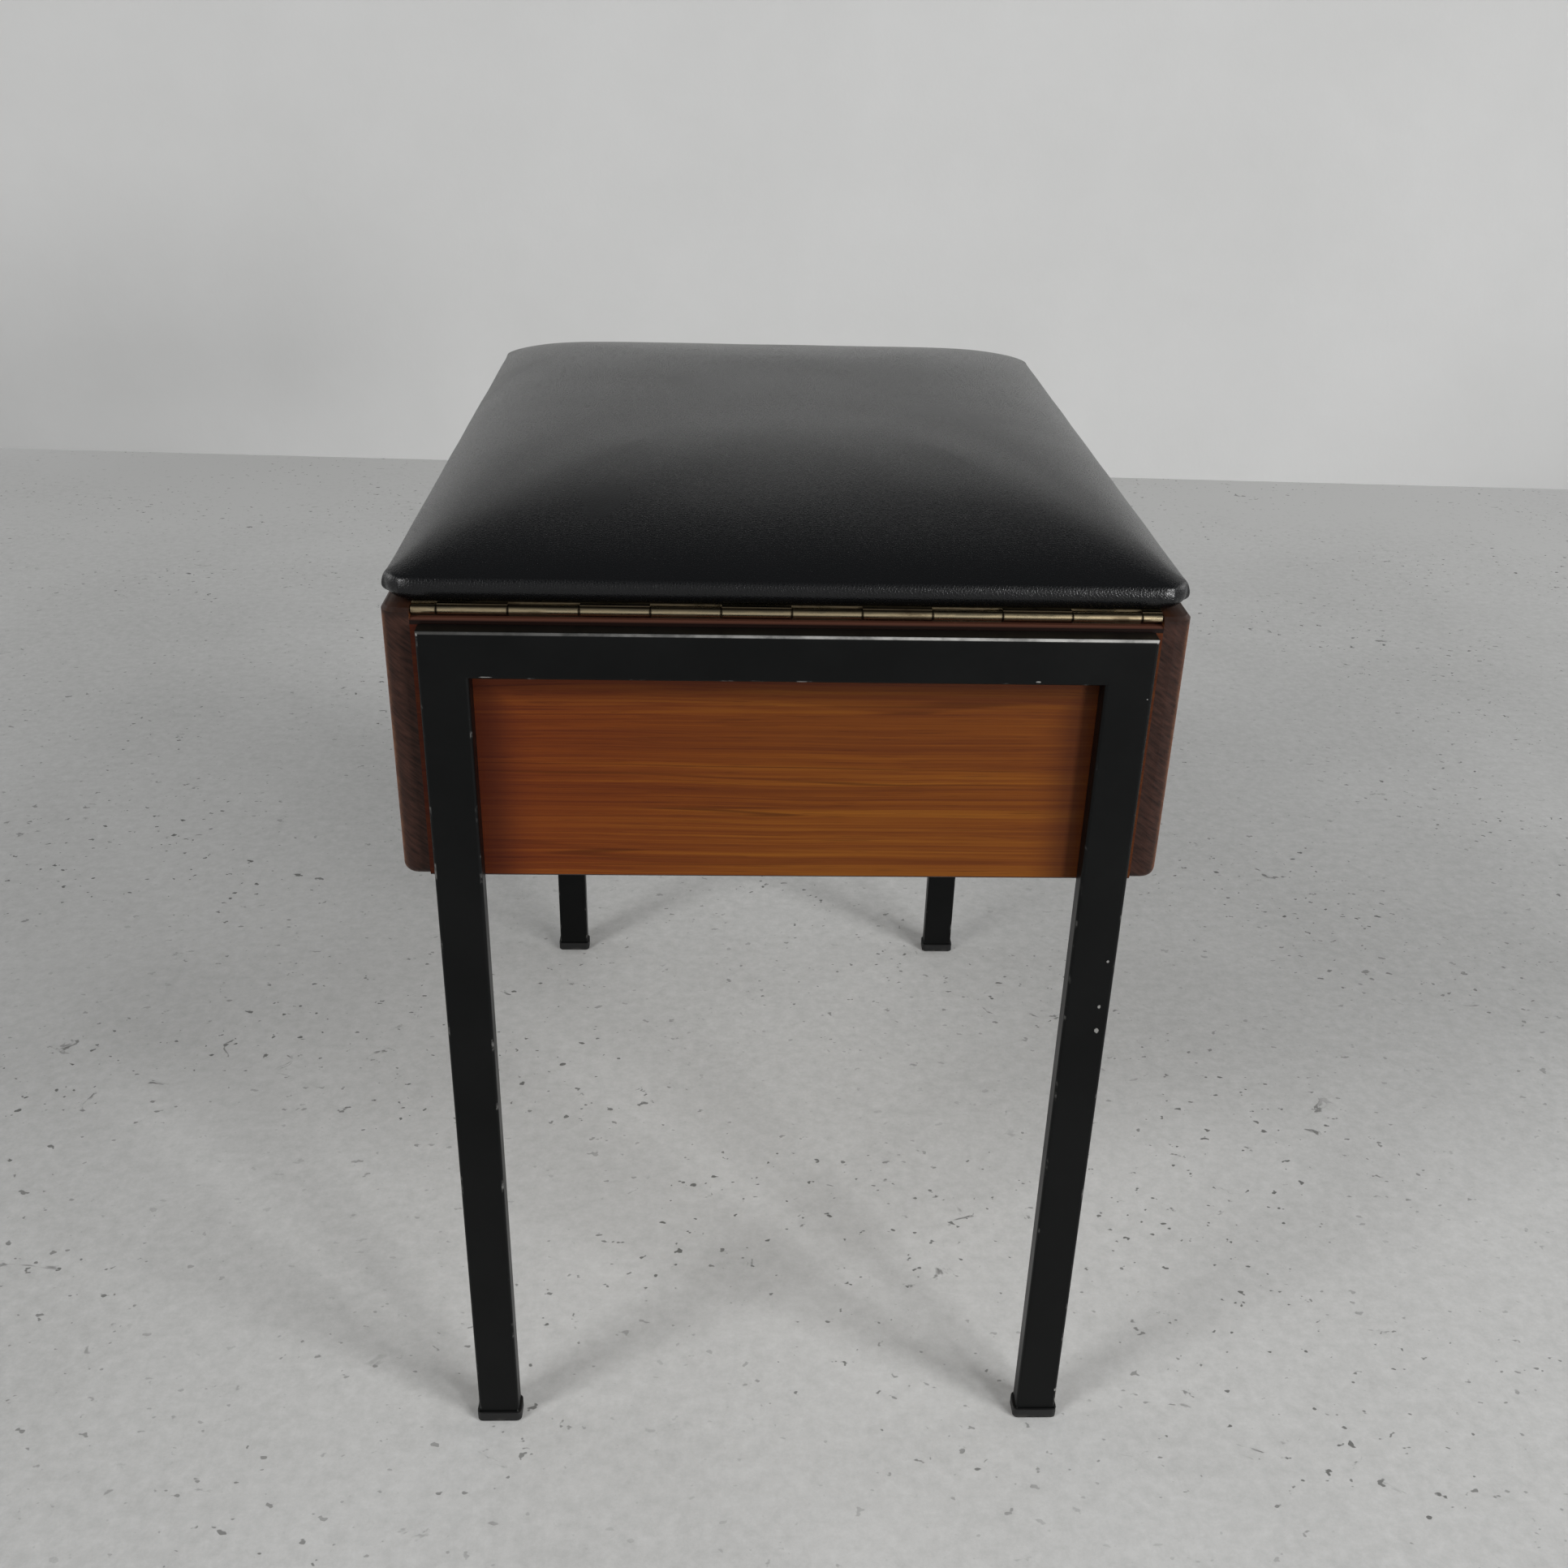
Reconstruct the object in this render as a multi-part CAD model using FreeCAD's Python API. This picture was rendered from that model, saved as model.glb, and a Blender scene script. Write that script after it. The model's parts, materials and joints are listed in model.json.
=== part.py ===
# Sewing stool: a teak box hung between two black tube frames, closed by a padded lid on a
# piano hinge, with a compartment tray that slides inside.
# Millimetres, +Z up. The origin is on the floor under the middle of the stool, and the
# hinge end faces -Y.
import FreeCAD
import Part
import math
import os
from FreeCAD import Vector

# Frames: mitred rectangular tube, one inverted U at each short end
TUBE_WIDTH = 20.0
TUBE_DEPTH = 10.0
TUBE_WALL = 1.5
TUBE_CORNER = 1.5
FRAME_INSET = 3.5
RAIL_TOP = 430.0

# Foot caps, slipped over the leg ends
CAP_WALL = 1.0
CAP_BASE = 2.5
CAP_HEIGHT = 6.0
CAP_EASE = 0.8
CAP_CLEARANCE = 0.1

# Box: side boards run the full length, and the end panels sit between them
BOX_LENGTH = 432.0
BOX_WIDTH = 325.0
SIDE_HEIGHT = 121.0
SIDE_THICKNESS = 12.0
SIDE_END_ROUND = 7.0
SIDE_LOWER_ROUND = 4.0
SIDE_TOP_EASE = 1.5
PANEL_THICKNESS = 15.0
PANEL_ABOVE_RAIL = 2.0
PANEL_EASE = 1.0
BOTTOM_THICKNESS = 4.0
BOTTOM_ABOVE_EDGE = 8.0
GROOVE_DEPTH = 5.0
GROOVE_CLEARANCE = 0.1

# Hidden corner dowels
DOWEL_RADIUS = 3.0
DOWEL_COUNT = 3
DOWEL_EDGE = 18.0
DOWEL_IN_SIDE = 7.0
DOWEL_IN_PANEL = 20.0

# Frame fixings: bolts from inside the box into rivet nuts in the tubes
FASTENER_SIDES = 8
FIT_CLEARANCE = 0.05
BOLT_RADIUS = 2.5
BOLT_HEAD_RADIUS = 4.75
BOLT_HEAD_HEIGHT = 3.0
WASHER_RADIUS = 6.0
WASHER_THICKNESS = 1.2
COUNTERBORE_GAP = 0.3
NUT_WALL = 1.0
NUT_COLLAR_WIDTH = 0.9
NUT_COLLAR_LENGTH = 2.0
NUT_END_GAP = 1.5
RAIL_BOLT_SPACING = 160.0

# Piano hinge along the front panel's top
HINGE_SHEET = 0.9
PIN_RADIUS = 1.0
PIN_CLEARANCE = 0.05
KNUCKLE_LIFT = 0.5
KNUCKLE_PITCH = 28.2
FIRST_KNUCKLE = 10.1
KNUCKLE_GAP = 0.3
HINGE_SETBACK = 3.6
HINGE_END_GAP = 0.3
LEAF_WIDTH = 11.0
LEAF_SCREW_COUNT = 5
LEAF_SCREW_RADIUS = 1.2
LEAF_SCREW_HEAD = 2.2
LEAF_SCREW_EDGE = 2.9
LEAF_SCREW_LENGTH = 10.0

# Padded lid
LID_SETBACK = 3.5
LID_SIDE_SETBACK = 0.5
LID_GAP = 1.1
LID_HEIGHT = 36.0
LID_CORNER = 12.0
LID_LOWER_ROUND = 5.5
LID_UPPER_ROUND = 10.0
CROWN_POWER = 4.0
CROWN_BEND = 2.0
# Where the pad's outlines are taken: degrees below and above the widest line, then shares of the crown
OUTER_STEPS = ((-90, -60, -30), (0, 21, 42, 63), (0.95, 0.88, 0.79, 0.67, 0.5, 0.25))
INNER_STEPS = ((-90, -45), (0, 32, 63), (0.88, 0.67, 0.25))
PAD_CORNER_CHORDS = 5
COVER_THICKNESS = 1.0
COVER_CLEARANCE = 0.05
COVER_TURN_UNDER = 18.0
LID_BOARD_THICKNESS = 10.0
FOAM_EDGE = 0.5
LINING_THICKNESS = 1.5
LINING_MARGIN = 4.0
BUFFER_RADIUS = 4.0
BUFFER_SPACING = 240.0
BUFFER_CLEARANCE = 0.1

# Compartment tray on its runners
TRAY_LENGTH = 150.0
TRAY_HEIGHT = 40.0
TRAY_BELOW_PANEL = 2.0
TRAY_SIDE_GAP = 1.0
TRAY_END_GAP = 1.0
TRAY_REST_GAP = 0.2
TRAY_WALL = 6.0
TRAY_BASE = 3.0
TRAY_BASE_LIFT = 2.0
TRAY_GROOVE = 3.0
DIVIDER_THICKNESS = 4.0
DIVIDER_DROP = 4.0
CROSS_DIVIDERS = 2
FINGER_RADIUS = 14.0
RUNNER_WIDTH = 8.0
RUNNER_HEIGHT = 8.0
RUNNER_SCREW_COUNT = 3
RUNNER_SCREW_RADIUS = 1.5
RUNNER_SCREW_HEAD = 2.8
RUNNER_SCREW_LENGTH = 14.0

# How close faces lie that are sewn together, and points that count as one place
SEW_TOLERANCE = 0.001
SAME_PLACE = 0.01

# Levels and planes that several pieces share
LEFT, RIGHT = -1, 1
FRONT, REAR = -1, 1
UP, DOWN = 1, -1
KNUCKLE_RADIUS = PIN_RADIUS + PIN_CLEARANCE + HINGE_SHEET
HINGE_HALF = KNUCKLE_RADIUS + KNUCKLE_LIFT
FRONT_TOP = RAIL_TOP + PANEL_ABOVE_RAIL
HINGE_Z = FRONT_TOP + HINGE_HALF
LID_BOTTOM = HINGE_Z + HINGE_HALF
SIDE_TOP = LID_BOTTOM - LID_GAP
BOX_BOTTOM = SIDE_TOP - SIDE_HEIGHT
HALF_LENGTH = BOX_LENGTH / 2
HALF_WIDTH = BOX_WIDTH / 2
INNER_LENGTH = HALF_LENGTH - PANEL_THICKNESS
INNER_WIDTH = HALF_WIDTH - SIDE_THICKNESS
FRAME_WIDTH = 2 * (INNER_WIDTH - FRAME_INSET)
LEG_X = (FRAME_WIDTH - TUBE_WIDTH) / 2
FRAME_Y = HALF_LENGTH + TUBE_DEPTH / 2
RAIL_Z = RAIL_TOP - TUBE_WIDTH / 2
HINGE_Y = -HALF_LENGTH + HINGE_SETBACK
HINGE_LENGTH = 2 * (INNER_WIDTH - HINGE_END_GAP)
LEAF_NOTCH = KNUCKLE_RADIUS + KNUCKLE_LIFT
LEAF_SCREW_Y = HINGE_Y + LEAF_WIDTH - LEAF_SCREW_EDGE
BOTTOM_Z = BOX_BOTTOM + BOTTOM_ABOVE_EDGE
COUNTERBORE_DEPTH = WASHER_THICKNESS + BOLT_HEAD_HEIGHT + COUNTERBORE_GAP
COUNTERBORE_RADIUS = WASHER_RADIUS + COUNTERBORE_GAP
NUT_RADIUS = BOLT_RADIUS + FIT_CLEARANCE + NUT_WALL
NUT_LENGTH = TUBE_DEPTH - TUBE_WALL - NUT_END_GAP
LID_HALF_WIDTH = HALF_WIDTH - LID_SIDE_SETBACK
LID_HALF_LENGTH = HALF_LENGTH - LID_SETBACK
LID_BOARD_INSET = LID_LOWER_ROUND + FOAM_EDGE
LID_BOARD_Z = LID_BOTTOM + COVER_THICKNESS
TRAY_TOP = FRONT_TOP - TRAY_BELOW_PANEL
TRAY_Z = TRAY_TOP - TRAY_HEIGHT
TRAY_HALF_WIDTH = INNER_WIDTH - TRAY_SIDE_GAP
TRAY_FRONT = -INNER_LENGTH + TRAY_END_GAP
TRAY_REAR = TRAY_FRONT + TRAY_LENGTH
TRAY_MIDDLE = (TRAY_FRONT + TRAY_REAR) / 2
TRAY_FLOOR = TRAY_Z + TRAY_BASE_LIFT + TRAY_BASE
RUNNER_Z = TRAY_Z - TRAY_REST_GAP - RUNNER_HEIGHT


def block(x_range, y_range, z_range):
    """A box between two values on each axis, in either order."""
    low = Vector(min(x_range), min(y_range), min(z_range))
    high = Vector(max(x_range), max(y_range), max(z_range))
    size = high - low
    return Part.makeBox(size.x, size.y, size.z, low)


def flat_ring(radius, distance):
    """A polygon around the Z axis, for a fastener's few flat sides."""
    turns = [2 * math.pi * (index + 0.5) / FASTENER_SIDES for index in range(FASTENER_SIDES)]
    points = [Vector(radius * math.cos(a), radius * math.sin(a), distance) for a in turns]
    return Part.makePolygon(points + points[:1])


def placed(solid, place, direction):
    """The solid with its Z axis turned to the direction, and its origin moved to the place."""
    turn = FreeCAD.Rotation(Vector(0, 0, 1), direction)
    return solid.transformed(FreeCAD.Placement(place, turn).toMatrix())


def turned(outline, place, direction):
    """A fastener from (radius, distance) steps along its axis, each step a face or a stretch."""
    rings = [flat_ring(*step) for step in outline]
    faces = [Part.Face(rings[0]), Part.Face(rings[-1])]
    for ring, following in zip(rings, rings[1:]):
        for edge, next_edge in zip(ring.Edges, following.Edges):
            faces.append(flat_face(edge, next_edge))
    return placed(closed_solid(faces), place, direction)


def peg(radius, length, place, direction):
    bar = Part.Face(flat_ring(radius, 0)).extrude(Vector(0, 0, length))
    return placed(bar, place, direction)


def flat_face(edge, other):
    """The flat face between two parallel straight edges that run the same way."""
    start, end = edge.firstVertex().Point, edge.lastVertex().Point
    other_start, other_end = other.firstVertex().Point, other.lastVertex().Point
    return Part.Face(Part.makePolygon([start, end, other_end, other_start, start]))


def closed_solid(faces):
    """A solid from faces that meet edge to edge."""
    shell = Part.makeShell(faces)
    shell.sewShape()
    solid = Part.makeSolid(shell)
    solid.fix(SEW_TOLERANCE, SEW_TOLERANCE, SEW_TOLERANCE)
    return solid


def rod(radius, length, place, direction):
    return Part.makeCylinder(radius, length, place, direction)


def rounded_rectangle(half_width, half_length, radius, z):
    """A closed wire of four lines and four quarter arcs, around the Z axis."""
    edges = []
    middle = radius * math.sqrt(0.5)
    corners = [(1, 1), (-1, 1), (-1, -1), (1, -1)]
    arcs = []
    for sx, sy in corners:
        centre = Vector(sx * (half_width - radius), sy * (half_length - radius), z)
        across = centre + Vector(sx * radius, 0, 0)
        along = centre + Vector(0, sy * radius, 0)
        ends = (across, along) if sx * sy > 0 else (along, across)
        arcs.append((ends[0], centre + Vector(sx * middle, sy * middle, 0), ends[1]))
    for index, (start, through, end) in enumerate(arcs):
        edges.append(Part.Arc(start, through, end).toShape())
        following = arcs[(index + 1) % len(arcs)][0]
        edges.append(Part.LineSegment(end, following).toShape())
    return Part.Wire(edges)


def rounded_bar(half_width, half_length, radius, z_low, z_high):
    face = Part.Face(rounded_rectangle(half_width, half_length, radius, z_low))
    return face.extrude(Vector(0, 0, z_high - z_low))


def edges_near(shape, test):
    """The edges whose middle passes the test, for rounding."""
    return [edge for edge in shape.Edges if test(edge.CenterOfMass)]


def near(value, target):
    return abs(value - target) < SAME_PLACE


def spaced(count, span):
    """Evenly spaced values, centred on zero, over the span."""
    return [span * (index / (count - 1) - 0.5) for index in range(count)]


def screw(head_radius, radius, length, place, direction):
    """A countersunk wood screw, with the middle of its flat head at place."""
    head = head_radius - radius
    point = length - 2 * radius
    outline = [(head_radius, 0), (radius, head), (radius, point), (radius / 4, length)]
    return turned(outline, place, direction)


def screw_hole(head_radius, radius, length, place, direction):
    """The room for such a screw, wider all round by the fit clearance."""
    gap = FIT_CLEARANCE
    return screw(head_radius + gap, radius + gap, length + gap, place, direction)


# Frames

def tube(length):
    """A length of tube along Z, centred on the axis, with its wide side along X."""
    half_width = TUBE_WIDTH / 2
    half_depth = TUBE_DEPTH / 2
    outside = rounded_bar(half_width, half_depth, TUBE_CORNER, 0, length)
    bore_width = (-half_width + TUBE_WALL, half_width - TUBE_WALL)
    bore_depth = (-half_depth + TUBE_WALL, half_depth - TUBE_WALL)
    return outside.cut(block(bore_width, bore_depth, (0, length)))


def mitre_wedge(side, end, inner):
    """The waste beyond a frame corner's mitre, on the leg's or on the rail's end."""
    outer_x = side * FRAME_WIDTH / 2
    inner_x = side * (FRAME_WIDTH / 2 - TUBE_WIDTH)
    low_z = RAIL_TOP - TUBE_WIDTH
    waste = (inner_x, RAIL_TOP) if inner else (outer_x, low_z)
    outline = [(outer_x, RAIL_TOP), (inner_x, low_z), waste]
    start_y = end * FRAME_Y - TUBE_DEPTH
    points = [Vector(x, start_y, z) for x, z in outline]
    return Part.Face(Part.makePolygon(points + points[:1])).extrude(Vector(0, 2 * TUBE_DEPTH, 0))


def bolt_places(end):
    """Where the bolts of one frame cross the face between panel and tube."""
    y = end * HALF_LENGTH
    rail = [Vector(x, y, RAIL_Z) for x in spaced(2, RAIL_BOLT_SPACING)]
    low, second = dowel_heights()[:2]
    legs = [Vector(side * LEG_X, y, (low + second) / 2) for side in (LEFT, RIGHT)]
    return rail + legs


def nut_holes(end):
    outward = Vector(0, end, 0)
    radius = NUT_RADIUS + FIT_CLEARANCE
    return [peg(radius, TUBE_WALL, place, outward) for place in bolt_places(end)]


def leg(side, end):
    solid = tube(RAIL_TOP - CAP_BASE)
    solid.translate(Vector(side * LEG_X, end * FRAME_Y, CAP_BASE))
    solid = solid.cut(mitre_wedge(side, end, True))
    return solid.cut(nut_holes(end))


def rail(end):
    solid = tube(FRAME_WIDTH)
    solid.rotate(Vector(0, 0, 0), Vector(0, 1, 0), 90)
    solid.translate(Vector(-FRAME_WIDTH / 2, end * FRAME_Y, RAIL_Z))
    wedges = [mitre_wedge(side, end, False) for side in (LEFT, RIGHT)]
    return solid.cut(wedges).cut(nut_holes(end))


def foot_cap(side, end):
    half_width = TUBE_WIDTH / 2 + CAP_CLEARANCE
    half_depth = TUBE_DEPTH / 2 + CAP_CLEARANCE
    corner = TUBE_CORNER + CAP_CLEARANCE
    outer = (half_width + CAP_WALL, half_depth + CAP_WALL, corner + CAP_WALL)
    cap = rounded_bar(*outer, 0, CAP_HEIGHT)
    cap = cap.makeChamfer(CAP_EASE, edges_near(cap, lambda middle: near(middle.z, 0)))
    pocket_z = (CAP_BASE, CAP_HEIGHT)
    cap = cap.cut(block((-half_width, half_width), (-half_depth, half_depth), pocket_z))
    cap.translate(Vector(side * LEG_X, end * FRAME_Y, 0))
    return cap


# Box

def dowel_heights():
    span = FRONT_TOP - BOX_BOTTOM - 2 * DOWEL_EDGE
    middle = (FRONT_TOP + BOX_BOTTOM) / 2
    return [middle + height for height in spaced(DOWEL_COUNT, span)]


def corner_dowels(radius):
    """Dowels from the end panels into the side boards, at all four corners."""
    dowels = []
    for side in (LEFT, RIGHT):
        for end in (FRONT, REAR):
            x = side * (INNER_WIDTH - DOWEL_IN_PANEL)
            y = end * (HALF_LENGTH - PANEL_THICKNESS / 2)
            for z in dowel_heights():
                length = DOWEL_IN_PANEL + DOWEL_IN_SIDE
                dowels.append(peg(radius, length, Vector(x, y, z), Vector(side, 0, 0)))
    return dowels


def bottom_groove():
    x = INNER_WIDTH + GROOVE_DEPTH
    y = INNER_LENGTH + GROOVE_DEPTH
    top = BOTTOM_Z + BOTTOM_THICKNESS + GROOVE_CLEARANCE
    return block((-x, x), (-y, y), (BOTTOM_Z, top))


def bottom_panel():
    x = INNER_WIDTH + GROOVE_DEPTH - GROOVE_CLEARANCE
    y = INNER_LENGTH + GROOVE_DEPTH - GROOVE_CLEARANCE
    return block((-x, x), (-y, y), (BOTTOM_Z, BOTTOM_Z + BOTTOM_THICKNESS))


def runner_screw_places(side):
    z = RUNNER_Z + RUNNER_HEIGHT / 2
    x = side * (INNER_WIDTH - RUNNER_WIDTH)
    reach = 2 * INNER_LENGTH - TRAY_LENGTH
    return [Vector(x, y, z) for y in spaced(RUNNER_SCREW_COUNT, reach)]


def runner_screws(side, make):
    sizes = (RUNNER_SCREW_HEAD, RUNNER_SCREW_RADIUS, RUNNER_SCREW_LENGTH)
    return [make(*sizes, place, Vector(side, 0, 0)) for place in runner_screw_places(side)]


def side_board(side):
    """A full-length board, rounded on its outer edges and eased around its top."""
    outer = side * HALF_WIDTH
    inner = side * INNER_WIDTH
    upright_z = (BOX_BOTTOM + SIDE_TOP) / 2
    board = block((inner, outer), (-HALF_LENGTH, HALF_LENGTH), (BOX_BOTTOM, SIDE_TOP))
    uprights = edges_near(board, lambda middle: near(middle.x, outer) and near(middle.z, upright_z))
    board = board.makeFillet(SIDE_END_ROUND, uprights)
    lower = edges_near(board, lambda middle: near(middle.x, outer) and near(middle.z, BOX_BOTTOM))
    board = board.makeFillet(SIDE_LOWER_ROUND, lower)
    eased = edges_near(board, lambda middle: near(middle.z, SIDE_TOP) and not near(middle.x, inner))
    board = board.makeChamfer(SIDE_TOP_EASE, eased)
    holes = corner_dowels(DOWEL_RADIUS + FIT_CLEARANCE) + runner_screws(side, screw_hole)
    return board.cut(holes + [bottom_groove()])


def bolt_room(end):
    """Through holes and counterbores for the bolts of one frame."""
    outward = Vector(0, end, 0)
    room = []
    for place in bolt_places(end):
        inner = place - outward * PANEL_THICKNESS
        room.append(peg(BOLT_RADIUS + FIT_CLEARANCE, PANEL_THICKNESS, inner, outward))
        room.append(peg(COUNTERBORE_RADIUS, COUNTERBORE_DEPTH, inner, outward))
    return room


def end_panel(end, top):
    y_range = (end * HALF_LENGTH, end * INNER_LENGTH)
    panel = block((-INNER_WIDTH, INNER_WIDTH), y_range, (BOX_BOTTOM, top))
    eased = edges_near(
        panel, lambda middle: near(middle.y, end * HALF_LENGTH) and near(middle.x, 0)
    )
    panel = panel.makeChamfer(PANEL_EASE, eased)
    holes = corner_dowels(DOWEL_RADIUS + FIT_CLEARANCE) + bolt_room(end)
    return panel.cut(holes + [bottom_groove()])


def front_panel():
    return end_panel(FRONT, FRONT_TOP).cut(leaf_screws(DOWN, screw_hole))


def tray_runner(side):
    x_range = (side * (INNER_WIDTH - RUNNER_WIDTH), side * INNER_WIDTH)
    runner = block(x_range, (-INNER_LENGTH, INNER_LENGTH), (RUNNER_Z, RUNNER_Z + RUNNER_HEIGHT))
    return runner.cut(runner_screws(side, screw_hole))


def lid_buffers():
    y = INNER_LENGTH + BUFFER_RADIUS + PANEL_EASE
    height = LID_GAP - BUFFER_CLEARANCE
    places = [Vector(x, y, SIDE_TOP) for x in spaced(2, BUFFER_SPACING)]
    return [peg(BUFFER_RADIUS, height, place, Vector(0, 0, 1)) for place in places]


# Frame fixings

def frame_bolts(end):
    """Raised-head bolts, with their heads below the panels' inner faces."""
    outward = Vector(0, end, 0)
    grip = PANEL_THICKNESS - COUNTERBORE_DEPTH + WASHER_THICKNESS
    outline = [
        (BOLT_RADIUS, -BOLT_HEAD_HEIGHT),
        (BOLT_HEAD_RADIUS, -BOLT_HEAD_HEIGHT / 2),
        (BOLT_HEAD_RADIUS, 0),
        (BOLT_RADIUS, 0),
        (BOLT_RADIUS, grip + NUT_LENGTH),
    ]
    return [turned(outline, place - outward * grip, outward) for place in bolt_places(end)]


def frame_washers(end):
    outward = Vector(0, end, 0)
    seat = outward * (PANEL_THICKNESS - COUNTERBORE_DEPTH + WASHER_THICKNESS)
    washers = []
    for place in bolt_places(end):
        disc = peg(WASHER_RADIUS, WASHER_THICKNESS, place - seat, outward)
        hole = peg(BOLT_RADIUS + FIT_CLEARANCE, WASHER_THICKNESS, place - seat, outward)
        washers.append(disc.cut(hole))
    return washers


def frame_nuts(end):
    """Rivet nuts: a sleeve flush with the tube's face, upset into a collar behind the wall."""
    outward = Vector(0, end, 0)
    outline = [
        (NUT_RADIUS, 0),
        (NUT_RADIUS, TUBE_WALL),
        (NUT_RADIUS + NUT_COLLAR_WIDTH, TUBE_WALL),
        (NUT_RADIUS, TUBE_WALL + NUT_COLLAR_LENGTH),
        (NUT_RADIUS, NUT_LENGTH),
    ]
    nuts = []
    for place in bolt_places(end):
        thread = peg(BOLT_RADIUS + FIT_CLEARANCE, NUT_LENGTH, place, outward)
        nuts.append(turned(outline, place, outward).cut(thread))
    return nuts


# Piano hinge

def knuckle_edges():
    """Where the knuckles meet: a cut first one, whole ones, and what is left at the end."""
    last = HINGE_LENGTH / 2
    edges = [-last]
    edge = FIRST_KNUCKLE - last
    while edge < last - FIRST_KNUCKLE / 2:
        edges.append(edge)
        edge += KNUCKLE_PITCH
    return edges + [last]


def leaf_screws(way, make):
    """Countersunk screws of one leaf, that go down into the panel or up into the lid."""
    head_z = HINGE_Z + way * (HINGE_HALF - HINGE_SHEET)
    pitch = 2 * KNUCKLE_PITCH
    row = spaced(LEAF_SCREW_COUNT, pitch * (LEAF_SCREW_COUNT - 1))
    sizes = (LEAF_SCREW_HEAD, LEAF_SCREW_RADIUS, LEAF_SCREW_LENGTH)
    return [make(*sizes, Vector(x, LEAF_SCREW_Y, head_z), Vector(0, 0, way)) for x in row]


def hinge_leaf(way, first):
    """One leaf with every other knuckle, from the first or the second on."""
    z_range = (HINGE_Z + way * HINGE_HALF, HINGE_Z + way * (HINGE_HALF - HINGE_SHEET))
    half = HINGE_LENGTH / 2
    leaf_y = (HINGE_Y + LEAF_NOTCH, HINGE_Y + LEAF_WIDTH)
    plate = block((-half, half), leaf_y, z_range)
    edges = knuckle_edges()
    pieces = []
    for start, end in list(zip(edges, edges[1:]))[first::2]:
        low = start + KNUCKLE_GAP / 2
        high = end - KNUCKLE_GAP / 2
        pieces.append(block((low, high), (HINGE_Y, leaf_y[0]), z_range))
        pieces.append(rod(KNUCKLE_RADIUS, high - low, Vector(low, HINGE_Y, HINGE_Z), Vector(1, 0, 0)))
    leaf = plate.fuse(pieces).removeSplitter()
    bore = rod(PIN_RADIUS + PIN_CLEARANCE, HINGE_LENGTH, Vector(-half, HINGE_Y, HINGE_Z), Vector(1, 0, 0))
    return leaf.cut([bore] + leaf_screws(way, screw_hole))


def hinge_pin():
    half = HINGE_LENGTH / 2
    return rod(PIN_RADIUS, HINGE_LENGTH, Vector(-half, HINGE_Y, HINGE_Z), Vector(1, 0, 0))


# Padded lid

def soft_rectangle(half_width, half_length, radius, z):
    """A closed outline whose round corners are made of short chords."""
    points = []
    for quarter, (sx, sy) in enumerate([(1, 1), (-1, 1), (-1, -1), (1, -1)]):
        centre = Vector(sx * (half_width - radius), sy * (half_length - radius), z)
        for step in range(PAD_CORNER_CHORDS + 1):
            turn = math.pi / 2 * (quarter + step / PAD_CORNER_CHORDS)
            points.append(centre + Vector(radius * math.cos(turn), radius * math.sin(turn), 0))
    return Part.makePolygon(points + points[:1])


def pad_sections(skin, steps):
    """Outlines of the crowned pad from its lower edge up, inside the cover's outer face by the skin."""
    half_width = LID_HALF_WIDTH - skin
    half_length = LID_HALF_LENGTH - skin
    corner = LID_CORNER - skin
    middle_z = LID_BOTTOM + LID_LOWER_ROUND
    lower_degrees, upper_degrees, crown_shares = steps
    sections = []

    def add_edge(degrees, radius):
        inset = radius * (1 - math.cos(math.radians(degrees)))
        z = middle_z + radius * math.sin(math.radians(degrees))
        bend = corner - inset / 2
        sections.append(soft_rectangle(half_width - inset, half_length - inset, bend, z))
        return inset, bend, z

    for degrees in lower_degrees:
        add_edge(degrees, LID_LOWER_ROUND - skin)
    for degrees in upper_degrees:
        inset, bend, shoulder_z = add_edge(degrees, LID_UPPER_ROUND - skin)
    crown = LID_BOTTOM + LID_HEIGHT - skin - shoulder_z
    width = half_width - inset
    length = half_length - inset
    for share in crown_shares:
        z = shoulder_z + crown * (1 - share ** CROWN_POWER)
        radius = width * share * (1 - (1 - bend / width) * share ** CROWN_BEND)
        sections.append(soft_rectangle(width * share, length * share, radius, z))
    return sections


def pad_faces(skin, steps):
    """The pad's side and crown faces, and the outline of its open underside."""
    sections = pad_sections(skin, steps)
    faces = [Part.Face(sections[-1])]
    for outline, following in zip(sections, sections[1:]):
        for edge, next_edge in zip(outline.Edges, following.Edges):
            faces.append(flat_face(edge, next_edge))
    return faces, sections[0]


def board_outline(inset, z):
    """The lid board's rounded outline, drawn in by the inset."""
    reach = LID_BOARD_INSET + inset
    corner = LID_CORNER - LID_BOARD_INSET / 2
    return soft_rectangle(LID_HALF_WIDTH - reach, LID_HALF_LENGTH - reach, corner, z)


def ring_face(outline, hole):
    return Part.Face(outline).cut(Part.Face(hole)).Faces[0]


def lid_board():
    face = Part.Face(board_outline(0, LID_BOARD_Z))
    board = face.extrude(Vector(0, 0, LID_BOARD_THICKNESS))
    return board.cut(leaf_screws(UP, screw_hole))


def seat_cover():
    """The leatherette skin, turned under the board, with the hinge screws' holes."""
    outer, outer_edge = pad_faces(0, OUTER_STEPS)
    inner, inner_edge = pad_faces(COVER_THICKNESS, INNER_STEPS)
    low_hole = board_outline(COVER_TURN_UNDER, LID_BOTTOM)
    high_hole = board_outline(COVER_TURN_UNDER, LID_BOARD_Z)
    hem = low_hole.extrude(Vector(0, 0, COVER_THICKNESS)).Faces
    rings = [ring_face(outer_edge, low_hole), ring_face(inner_edge, high_hole)]
    skin = closed_solid(outer + inner + hem + rings)
    return skin.cut(leaf_screws(UP, screw_hole))


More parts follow.
